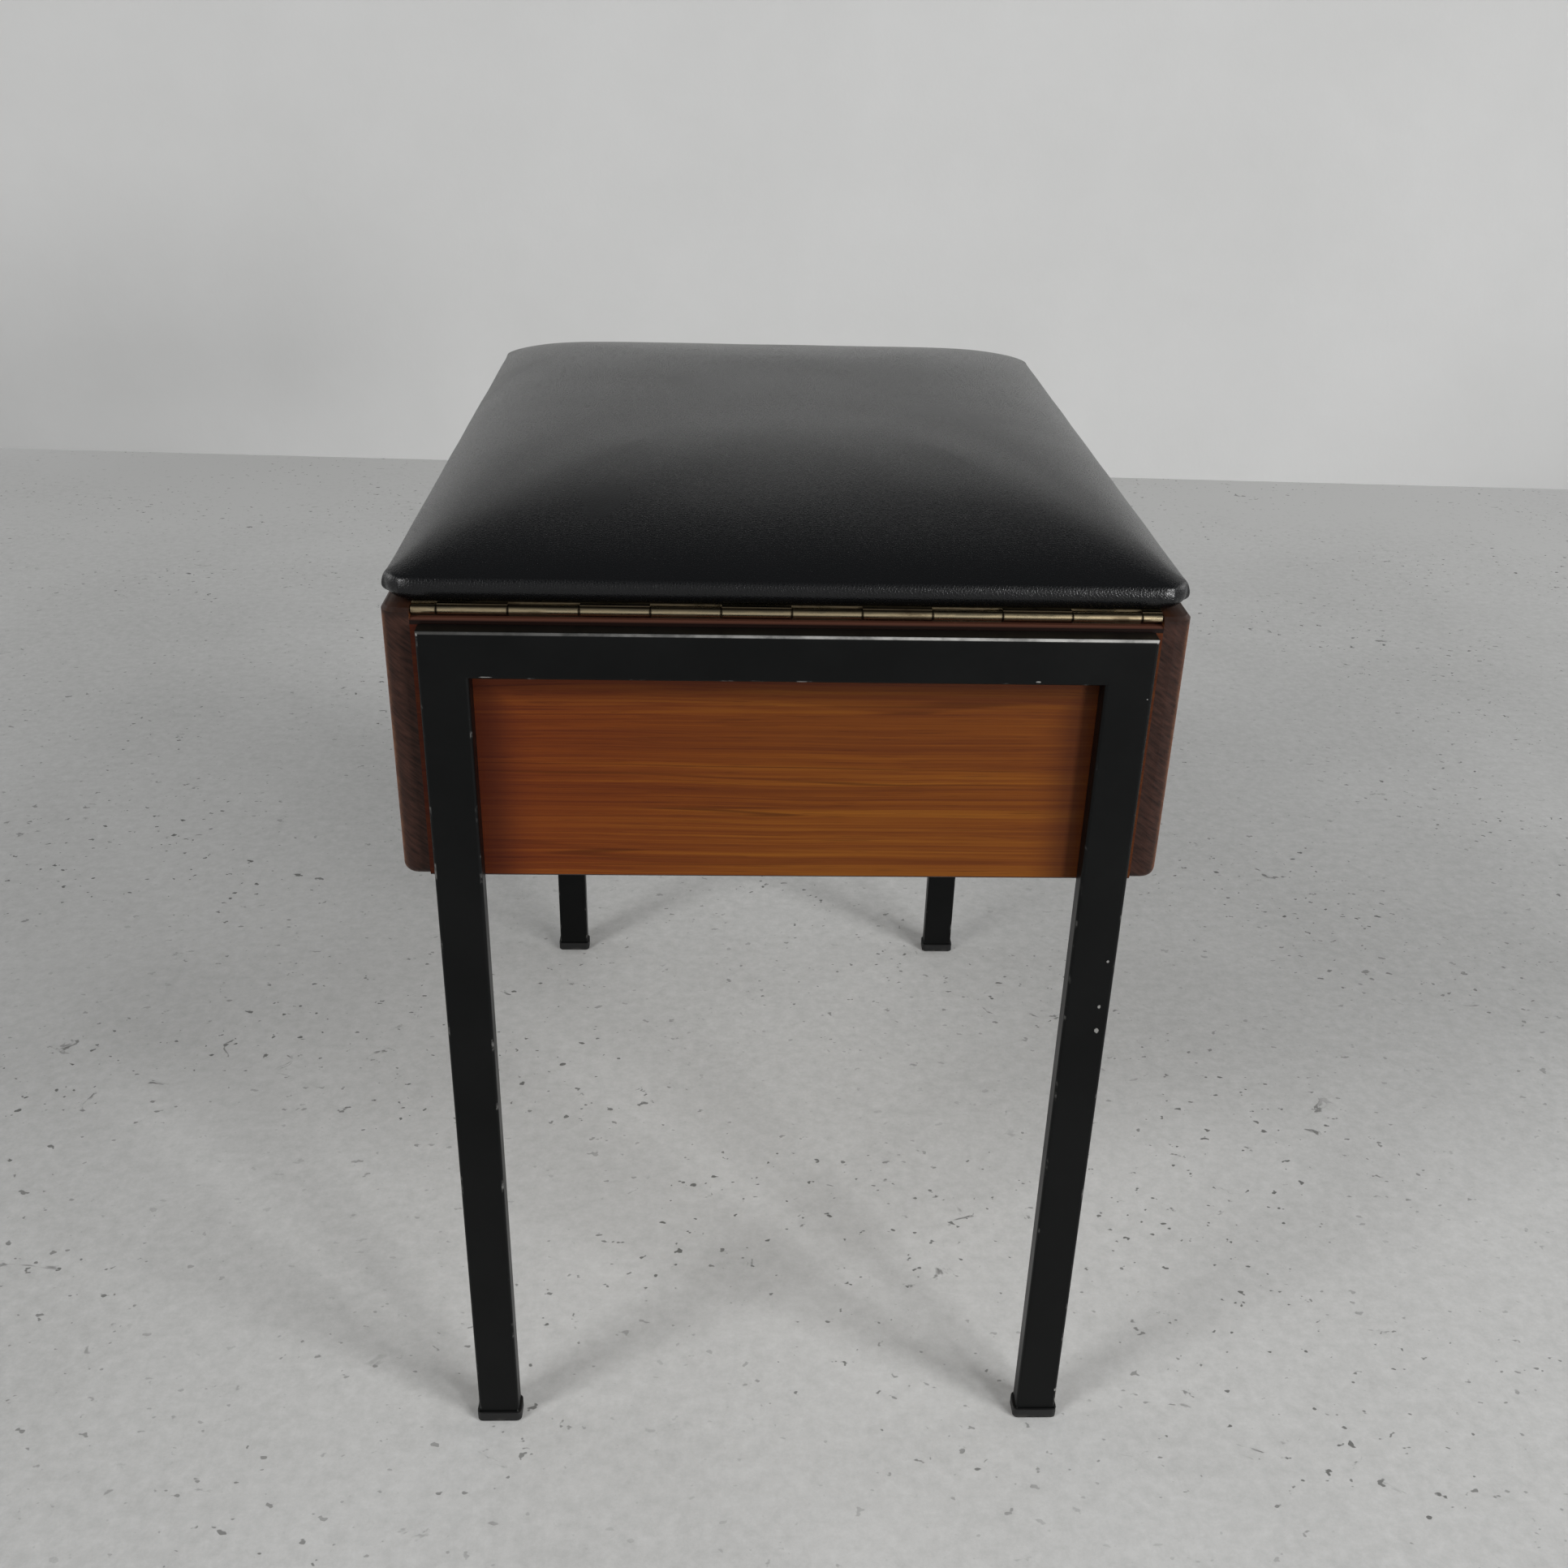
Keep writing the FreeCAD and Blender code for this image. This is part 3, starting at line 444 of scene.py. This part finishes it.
def chipped(look, wear_and_ridge_highlight, axes):
    """Adds the bare spots of the hinge end to the share of lacquer wear and painted edge highlight."""
    ragged = look.clouds(1100)
    hinge_end = look.step(axes["Y"], -FRAME_Y, -FRAME_Y + TUBE_CORNER, start=1.0, end=0.0)
    for chip_x, chip_z, half_width, half_height in CHIPS:
        aside = look.maths("DIVIDE", look.maths("SUBTRACT", axes["X"], chip_x), half_width)
        above = look.maths("DIVIDE", look.maths("SUBTRACT", axes["Z"], chip_z), half_height)
        away = look.maths("ADD", look.maths("MULTIPLY", aside, aside), look.maths("MULTIPLY", above, above))
        spot = look.step(look.weighed((away, 1.0), (ragged, -2.0)), -0.5, 0.3, start=0.55, end=0.0)
        wear_and_ridge_highlight = look.maths("MAXIMUM", wear_and_ridge_highlight, look.maths("MULTIPLY", spot, hinge_end))
    return wear_and_ridge_highlight


def lacquer(name, axis, centre):
    """Black lacquer on one run of tube, rubbed to grey on its corners, with a painted highlight along its
    top edges that is partly wear, and chipped in places.
    """
    look = Look(name, 0.34, gloss=0.14)
    axes = look.axes()
    across = {"X": look.maths("ABSOLUTE", axes["X"]), "Z": axes["Z"]}[axis]
    wide = look.maths("SUBTRACT", look.apart(across, centre), TUBE_HALF_WIDTH - TUBE_CORNER)
    deep = look.apart(look.maths("ABSOLUTE", axes["Y"]), FRAME_Y)
    deep = look.maths("SUBTRACT", deep, TUBE_HALF_DEPTH - TUBE_CORNER)
    corner = look.maths("DIVIDE", look.maths("MINIMUM", wide, deep), TUBE_CORNER)
    corner = look.step(corner, 0.22, 0.46)
    patches = look.clouds(70, 4.0, 0.65)
    rubbed = look.maths("MULTIPLY", corner, look.step(patches, 0.56, 0.70, end=0.35))
    # Painted highlight along the top edges, partly real wear: bare-steel grey in patches, stronger towards
    # +X.
    high = look.step(axes["Z"], RAIL_TOP - TUBE_CORNER, RAIL_TOP - TUBE_CORNER / 2)
    ridge_wear_and_highlight = look.maths("MULTIPLY", corner, high)
    ridge_wear_and_highlight = look.maths("MULTIPLY", ridge_wear_and_highlight, look.step(patches, 0.34, 0.60, start=0.45))
    ridge_wear_and_highlight = look.maths("MULTIPLY", ridge_wear_and_highlight, look.step(axes["X"], *RIDGE_WEAR_AND_HIGHLIGHT, start=0.15))
    wear_and_ridge_highlight = chipped(look, look.maths("MAXIMUM", rubbed, ridge_wear_and_highlight), axes)
    dust = look.clouds(14, 5.0, 0.6)
    look.colour(look.mix(wear_and_ridge_highlight, look.ramp(dust, (0.35, 0.75), LACQUER), BARE_STEEL_AND_HIGHLIGHT))
    look.roughness(look.step(dust, 0.3, 0.7, start=0.30, end=0.42))
    peel = look.clouds(420, 1.0)
    look.bump(look.weighed((peel, 0.3), (wear_and_ridge_highlight, -1.0)), distance=0.00005, strength=0.5)
    return look.material


def leatherette():
    """Black embossed leatherette with a fine pebble grain."""
    look = Look("black_leatherette", 0.25, gloss=0.35)
    drift = look.clouds(9, 3.0)
    look.colour(look.ramp(drift, (0.3, 0.7), LEATHERETTE))
    pebble = look.step(look.cells(880, "DISTANCE_TO_EDGE"), 0.02, 0.22)
    look.roughness(look.step(look.maths("MULTIPLY", pebble, drift), 0.2, 0.6, start=0.30, end=0.21))
    look.bump(look.weighed((pebble, 1.0), (look.clouds(1500), 0.5)), distance=0.00006, strength=0.55)
    return look.material


def brass():
    """Rolled brass, gone dull in patches, with painted shade above and below the hinge's barrel axis, and
    grime in its gaps.
    """
    look = Look("aged_brass", 0.34, 1.0)
    tarnish = look.noise(look.mapped((55, 160, 160)), 5.0, 0.65)
    axes = look.axes()
    # Painted shade on the barrel above and below its axis, and grime in the gaps between knuckles.
    beside = look.step(look.apart(axes["Z"], HINGE_AXIS.z), *BARREL_SHADE, end=0.85)
    along = look.maths("SUBTRACT", axes["X"], HINGE_START - KNUCKLE_PITCH / 2)
    along = look.maths("FLOORED_MODULO", along, KNUCKLE_PITCH)
    gap = look.step(look.apart(along, KNUCKLE_PITCH / 2), *GAP_GRIME, start=0.9, end=0.0)
    inward = look.maths("SUBTRACT", axes["Y"], HINGE_AXIS.y)
    outside = look.step(inward, *LEAF_CLEAN, start=1.0, end=0.0)
    crevice_shade_and_grime = look.maths("MULTIPLY", look.maths("MAXIMUM", beside, gap), outside)
    look.colour(look.mix(crevice_shade_and_grime, look.ramp(tarnish, (0.34, 0.50, 0.72), BRASS), BRASS_SHADE_AND_GRIME))
    look.roughness(look.step(tarnish, 0.35, 0.65, start=0.40, end=0.22))
    look.bump(look.noise(look.mapped((25, 2600, 2600))), distance=0.00003, strength=0.4)
    return look.material


def plastic():
    """Black moulded plastic, dusty next to the floor."""
    look = Look("black_plastic", 0.55, gloss=0.3)
    dust = look.noise(look.mapped((120, 120, 160)), 4.0, 0.6)
    low = look.step(look.axes()["Z"], 0.0, FLOOR_DUST, start=0.5, end=0.0)
    look.colour(look.mix(look.maths("MULTIPLY", look.step(dust, 0.45, 0.7), low), PLASTIC, DUST))
    look.roughness(look.step(dust, 0.3, 0.7, start=0.48, end=0.64))
    look.bump(dust, distance=0.00005, strength=0.5)
    return look.material


def steel():
    """Zinc-plated steel with a cloudy sheen."""
    look = Look("zinc_steel", 0.38, 1.0)
    cloud = look.clouds(260, 3.0)
    look.colour(look.ramp(cloud, (0.3, 0.7), ZINC))
    look.roughness(look.step(cloud, 0.3, 0.7, start=0.48, end=0.32))
    return look.material


def lining():
    """Smooth hardboard, with short fibres."""
    look = Look("lining_board", 0.62)
    fibres = look.clouds(500, 4.0, 0.7)
    look.colour(look.ramp(look.weighed((fibres, 0.6), (look.clouds(25, 3.0), 0.4)), (0.35, 0.65), HARDBOARD))
    look.bump(fibres, distance=0.00008, strength=0.5)
    return look.material


def felt():
    """Dark felt, matt and fuzzy."""
    look = Look("felt", 0.95)
    fuzz = look.clouds(1400, 3.0, 0.7)
    look.colour(look.ramp(fuzz, (0.3, 0.7), FELT))
    look.bump(fuzz, distance=0.0002, strength=0.8)
    return look.material


def foam():
    """Open-celled foam, yellowed."""
    look = Look("foam", 0.9)
    bubbles = look.cells(700, "F1")
    look.colour(look.ramp(bubbles, (0.1, 0.7), FOAM))
    look.bump(bubbles, distance=0.0003, strength=0.6)
    return look.material


def concrete():
    """A pale, power-floated floor with clouds, grit, pits and scuffs, that pales with distance."""
    look = Look("concrete", 0.75, gloss=0.3)
    grit = look.clouds(110, 6.0, 0.8)
    tone = look.weighed((look.clouds(1.6, 6.0, 0.6), 0.5), (grit, 0.5))
    tone = look.maths("ADD", tone, look.step(look.axes()["Y"], *FLOOR_PALING, end=0.16))
    base = look.ramp(tone, (0.34, 0.66), CONCRETE)
    where = look.clouds(5, 4.0)
    pits = look.step(look.noise(look.mapped((110, 140, 110)), 2.0, 0.6), 0.66, 0.70)
    pits = look.maths("MULTIPLY", pits, look.step(where, 0.40, 0.60, start=0.2, end=0.9))
    scuffs = look.step(look.noise(look.mapped((34, 50, 34)), 4.0, 0.65, 0.8), 0.66, 0.72)
    scuffs = look.maths("MULTIPLY", scuffs, look.step(where, 0.45, 0.58, end=0.8))
    colour = look.mix(look.maths("MAXIMUM", pits, scuffs), base, CONCRETE_PITS)
    under_lamps = look.step(look.axes()["Y"], *FLOOR_FRONT, start=1.0, end=0.0)
    under_lamps = look.maths("MULTIPLY", under_lamps, look.shown())
    look.fade(colour, look.maths("MAXIMUM", look.beyond(FLOOR_FADE), under_lamps))
    look.bump(grit, distance=0.0006, strength=0.35)
    return look.material


def plaster():
    """A pale wall, trowelled a little unevenly."""
    look = Look("plaster", 0.85)
    colour = look.ramp(look.clouds(1.8, 6.0, 0.6), (0.3, 0.7), PLASTER)
    look.fade(colour, look.beyond(WALL_FADE))
    look.bump(look.clouds(16, 5.0, 0.6), distance=0.004, strength=0.25)
    return look.material


LOOKS = {
    "teak_board": teak_board(),
    "teak_veneer": teak_veneer(),
    "plywood": plain_wood("plywood", "Y", PLY_WOOD, 0.60, contrast=0.6),
    "birch": plain_wood("birch", "Y", PALE_WOOD, 0.48, contrast=0.5),
    "black_lacquer": lacquer("black_lacquer_legs", "X", LEG_X),
    "black_plastic": plastic(),
    "zinc_steel": steel(),
    "aged_brass": brass(),
    "black_leatherette": leatherette(),
    "foam": foam(),
    "lining_board": lining(),
    "felt": felt(),
}

# Pieces whose grain or wear runs across the stool
CROSSWISE = {
    "black_lacquer": lacquer("black_lacquer_rails", "Z", RAIL_Z),
    "birch": plain_wood("birch_across", "X", PALE_WOOD, 0.48, contrast=0.5, shift=(0.1, 0.2, 0.0)),
}
CROSSWISE_NODES = (
    "front_rail", "rear_rail",
    "tray_front_wall", "tray_rear_wall", "tray_long_divider",
    "corner_dowels",
)


def paint(node, slot):
    """Gives a solid the material of its slot."""
    looks = CROSSWISE if node in CROSSWISE_NODES else LOOKS
    mesh = frame["nodes"][node].data
    mesh.materials.clear()
    mesh.materials.append(looks[slot])


# Seat

def way(degrees):
    """A level direction, at degrees from +X towards +Y."""
    return Vector((math.cos(math.radians(degrees)), math.sin(math.radians(degrees)), 0))


def seat_ring(inset, radius, z):
    """Points round the pad, with the same number from each corner's middle to the next."""
    reach = (SEAT_HALF.x - inset[0] - radius, SEAT_HALF.y - inset[1] - radius)
    corners = []
    for side_x, side_y in ((1, 1), (-1, 1), (-1, -1), (1, -1)):
        corners.append(Vector((SEAT_CENTRE.x + side_x * reach[0], SEAT_CENTRE.y + side_y * reach[1], z)))
    points = []
    for quarter, corner in enumerate(corners):
        following = corners[(quarter + 1) % 4]
        square = 90 * (quarter + 1)
        for step in range(CORNER_STEPS):
            points.append(corner + radius * way(square - 45 + 45 * step / CORNER_STEPS))
        for step in range(SIDE_STEPS):
            points.append(corner.lerp(following, step / SIDE_STEPS) + radius * way(square))
        for step in range(CORNER_STEPS):
            points.append(following + radius * way(square + 45 * step / CORNER_STEPS))
    return points


def hem_rings():
    """Outlines under the board, from the hem's inner edge out."""
    rings = [seat_ring((HEM_WIDTH, HEM_WIDTH), HEM_CORNER, SEAT_LOW.z + HEM_DEPTH)]
    for index in range(HEM_RINGS):
        inset = HEM_WIDTH + (SEAT_LOWER_ROUND - HEM_WIDTH) * index / HEM_RINGS
        rings.append(seat_ring((inset, inset), SEAT_CORNER - inset * HEM_TIGHTENING, SEAT_LOW.z))
    return rings


def edge_rings(angles, rounding):
    """Outlines round the bullnose edge, at angles from its widest line."""
    rings = []
    for degrees in angles:
        turn = math.radians(degrees)
        inset = rounding * (1 - math.cos(turn))
        z = SEAT_LOW.z + SEAT_LOWER_ROUND + rounding * math.sin(turn)
        rings.append(seat_ring((inset, inset), SEAT_CORNER - inset * CORNER_TIGHTENING, z))
    return rings


def crowned(point):
    """Lifts a point to the crown, which is flatter across the seat than along it."""
    across = min(abs(point.x) / (SEAT_HALF.x - SHOULDER_INSET), 1)
    along = min(abs(point.y) / (SEAT_HALF.y - SHOULDER_INSET), 1)
    rise = (1 - across ** CROWN_POWERS[0]) * (1 - along ** CROWN_POWERS[1])
    return Vector((point.x, point.y, SHOULDER_Z + (SEAT_HIGH.z - SEAT_SLACK - SHOULDER_Z) * rise))


def crown_rings():
    """Outlines over the crown, rounder and rounder towards its middle."""
    width = SEAT_HALF.x - SHOULDER_INSET
    length = SEAT_HALF.y - SHOULDER_INSET
    bend = SEAT_CORNER - SHOULDER_INSET * CORNER_TIGHTENING
    rings = []
    for share in CROWN_SHARES:
        radius = width * share * (1 - (1 - bend / width) * share ** CROWN_BEND)
        drawn_in = (SEAT_HALF.x - width * share, SEAT_HALF.y - length * share)
        rings.append([crowned(point) for point in seat_ring(drawn_in, radius, SHOULDER_Z)])
    return rings


def crown_patch(ring):
    """Rows of points that fill the last outline, from one side to the opposite one."""
    count = len(ring) // 4
    first = ring[:count + 1]
    second = ring[count:2 * count + 1]
    third = ring[2 * count:3 * count + 1][::-1]
    fourth = (ring[3 * count:] + ring[:1])[::-1]
    rows = []
    for j in range(1, count):
        v = j / count
        row = []
        for i in range(1, count):
            u = i / count
            point = first[i].lerp(third[i], v) + fourth[j].lerp(second[j], u)
            point -= first[0].lerp(first[-1], u).lerp(third[0].lerp(third[-1], u), v)
            row.append(crowned(point))
        rows.append(row)
    return rows


def seat_mesh():
    """The closed pad, as quads in rings with a grid on top."""
    rings = hem_rings()
    rings += edge_rings(LOWER_DEGREES, SEAT_LOWER_ROUND)
    rings += edge_rings(UPPER_DEGREES, SEAT_UPPER_ROUND)
    rings += crown_rings()
    around = len(rings[0])
    points = [point for ring in rings for point in ring]
    faces = [tuple(range(around))[::-1]]
    for index in range(len(rings) - 1):
        low = index * around
        for step in range(around):
            after = (step + 1) % around
            faces.append((low + step, low + after, low + around + after, low + around + step))
    last = (len(rings) - 1) * around
    count = around // 4
    grid = {}
    for step in range(count + 1):
        grid[step, 0] = last + step
        grid[count, step] = last + count + step
        grid[step, count] = last + 3 * count - step
        grid[0, step] = last + (4 * count - step) % around
    for j, row in enumerate(crown_patch(rings[-1]), 1):
        for i, point in enumerate(row, 1):
            grid[i, j] = len(points)
            points.append(point)
    for i in range(count):
        for j in range(count):
            faces.append((grid[i, j], grid[i + 1, j], grid[i + 1, j + 1], grid[i, j + 1]))
    mesh = bpy.data.meshes.new("seat")
    mesh.from_pydata(points, [], faces)
    mesh.polygons.foreach_set("use_smooth", [True] * len(mesh.polygons))
    return mesh


def swell(piece):
    """Lets the cover swell over its foam, held round the board, no further than the cap."""
    start = [vertex.co.copy() for vertex in piece.data.vertices]
    held = piece.vertex_groups.new(name="held")
    held.add([i for i, place in enumerate(start) if place.z < HELD_Z], 1.0, "REPLACE")
    cloth = piece.modifiers.new("swell", "CLOTH")
    cloth.settings.quality = SWELL_QUALITY
    cloth.settings.use_pressure = True
    cloth.settings.uniform_pressure_force = SEAT_PRESSURE
    cloth.settings.vertex_group_mass = "held"
    cloth.settings.effector_weights.gravity = 0
    for number in range(1, SWELL_FRAMES + 1):
        scene.frame_set(number)
    settled = piece.evaluated_get(bpy.context.evaluated_depsgraph_get()).data
    swollen = [vertex.co.copy() for vertex in settled.vertices]
    piece.modifiers.remove(cloth)
    piece.vertex_groups.clear()
    for vertex, before, after in zip(piece.data.vertices, start, swollen):
        moved = after - before
        if moved.length > SWELL_CAP:
            moved *= SWELL_CAP / moved.length
        vertex.co = before + moved


def smooth_crown(mesh):
    """Evens out the crown, where foam lets a cover show no crease."""
    around = [[] for vertex in mesh.vertices]
    for edge in mesh.edges:
        first, second = edge.vertices
        around[first].append(second)
        around[second].append(first)
    crown = [vertex.index for vertex in mesh.vertices if vertex.co.z > HELD_Z]
    for number in range(SMOOTHING_ROUNDS):
        places = [vertex.co.copy() for vertex in mesh.vertices]
        for index in crown:
            middle = sum((places[other] for other in around[index]), Vector()) / len(around[index])
            mesh.vertices[index].co = places[index].lerp(middle, SMOOTHING_SHARE)


def pleat_push(place):
    """The move by which the folds at a corner push a point outward."""
    across = abs(place.x) - (SEAT_HALF.x - SEAT_CORNER)
    along = abs(place.y) - (SEAT_HALF.y - SEAT_CORNER)
    height = (place.z - SEAT_LOW.z) / PLEAT_HEIGHT
    if max(across, along) < 0 or not 0 < height < 1:
        return Vector((0, 0, 0))
    round_corner = math.degrees(math.atan2(along, across))
    push = 0.0
    for middle, before, after, reach in PLEATS:
        off = round_corner - middle
        share = 1 - off / after if off > 0 else 1 + off / before
        push = max(push, reach * max(share, 0) ** PLEAT_SHARPNESS)
    fade = min(height / PLEAT_FOOT, 1) * (1 - height) ** PLEAT_FADE
    outward = Vector((math.copysign(max(across, 0), place.x), math.copysign(max(along, 0), place.y), 0))
    return outward.normalized() * push * fade


def uneven(place):
    """The height of the small waves that hand stretching leaves in a cover."""
    return noise.noise(place * COVER_WAVE_PITCH) * COVER_WAVE


def seat():
    """The stretched cover on its foam, as one piece in place of both solids."""
    mesh = seat_mesh()
    piece = bpy.data.objects.new("stretched_seat", mesh)
    scene.collection.objects.link(piece)
    swell(piece)
    smooth_crown(mesh)
    mesh.update()
    normals = [vertex.normal.copy() for vertex in mesh.vertices]
    for vertex, normal in zip(mesh.vertices, normals):
        if vertex.co.z > SEAT_LOW.z + HEM_DEPTH:
            vertex.co += normal * uneven(vertex.co) + pleat_push(vertex.co)
    mesh.materials.append(LOOKS["black_leatherette"])
    smooth = piece.modifiers.new("smooth", "SUBSURF")
    smooth.levels = 1
    smooth.render_levels = 1
    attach(piece, "lid")
    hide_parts("seat_cover", "foam_pad")


# Stage, lamps and camera

def sheet(name, points, material):
    """A flat backdrop with four corners."""
    mesh = bpy.data.meshes.new(name)
    mesh.from_pydata(points, [], [(0, 1, 2, 3)])
    mesh.materials.append(material)
    piece = bpy.data.objects.new(name, mesh)
    scene.collection.objects.link(piece)
    return piece


def stage():
    """The floor, and the wall behind the stool."""
    round_floor = ((-1, -1), (1, -1), (1, 1), (-1, 1))
    round_wall = ((-1, 0), (1, 0), (1, 1), (-1, 1))
    sheet("floor", [(x * FLOOR_REACH, y * FLOOR_REACH, 0) for x, y in round_floor], concrete())
    wall = sheet("wall", [(x * WALL_REACH, 0, z * WALL_HEIGHT) for x, z in round_wall], plaster())
    wall.location.y = WALL_Y
    wall.rotation_euler.z = WALL_TURN


def lamps():
    """Square lamps, each turned to the point it is aimed at."""
    for name, (place, target, side, power) in LAMPS.items():
        light = bpy.data.lights.new(name, "AREA")
        light.size = side
        light.energy = power
        lamp = bpy.data.objects.new(name, light)
        scene.collection.objects.link(lamp)
        lamp.location = place
        lamp.rotation_euler = (Vector(target) - Vector(place)).to_track_quat("-Z", "Y").to_euler()


def room():
    """A dim room that gives light, with a pale backdrop near the horizon."""
    world = bpy.data.worlds.new("room")
    world.use_nodes = True
    room_nodes = Nodes(world.node_tree)
    dim = world.node_tree.nodes["Background"]
    dim.inputs["Color"].default_value = ROOM_TINT
    dim.inputs["Strength"].default_value = ROOM_GLOW
    pale = room_nodes.add("ShaderNodeBackground", {"Color": WHITE, "Strength": BACKDROP_GLOW})
    ways = room_nodes.add("ShaderNodeTexCoord", {}).outputs["Generated"]
    height = room_nodes.add("ShaderNodeSeparateXYZ", {0: ways}).outputs["Z"]
    low = room_nodes.step(height, *BACKDROP_TOP, start=1.0, end=0.0)
    share = room_nodes.maths("MULTIPLY", room_nodes.shown(), low)
    either = room_nodes.add("ShaderNodeMixShader", {0: share, 1: dim.outputs[0], 2: pale.outputs[0]})
    room_nodes.feed(world.node_tree.nodes["World Output"].inputs["Surface"], either.outputs[0])
    scene.world = world


def camera():
    """The photograph's camera: its yaw, its downward pitch and its roll."""
    data = bpy.data.cameras.new("camera")
    data.sensor_fit = "HORIZONTAL"
    data.sensor_width = CAMERA_SENSOR
    data.lens = CAMERA_LENS
    level = math.cos(CAMERA_PITCH)
    forward = Vector((-math.sin(CAMERA_YAW) * level, math.cos(CAMERA_YAW) * level, -math.sin(CAMERA_PITCH)))
    right = Vector((math.cos(CAMERA_YAW), math.sin(CAMERA_YAW), 0))
    down = forward.cross(right)
    rolled_right = right * math.cos(CAMERA_ROLL) + down * math.sin(CAMERA_ROLL)
    rolled_down = down * math.cos(CAMERA_ROLL) - right * math.sin(CAMERA_ROLL)
    pose = Matrix((rolled_right, -rolled_down, -forward)).transposed().to_4x4()
    pose.translation = CAMERA_PLACE
    eye = bpy.data.objects.new("camera", data)
    scene.collection.objects.link(eye)
    eye.matrix_world = pose
    scene.camera = eye


for part in frame["record"]["subparts"]:
    paint(part["node"], part["material_slot"])
seat()
stage()
lamps()
room()
camera()
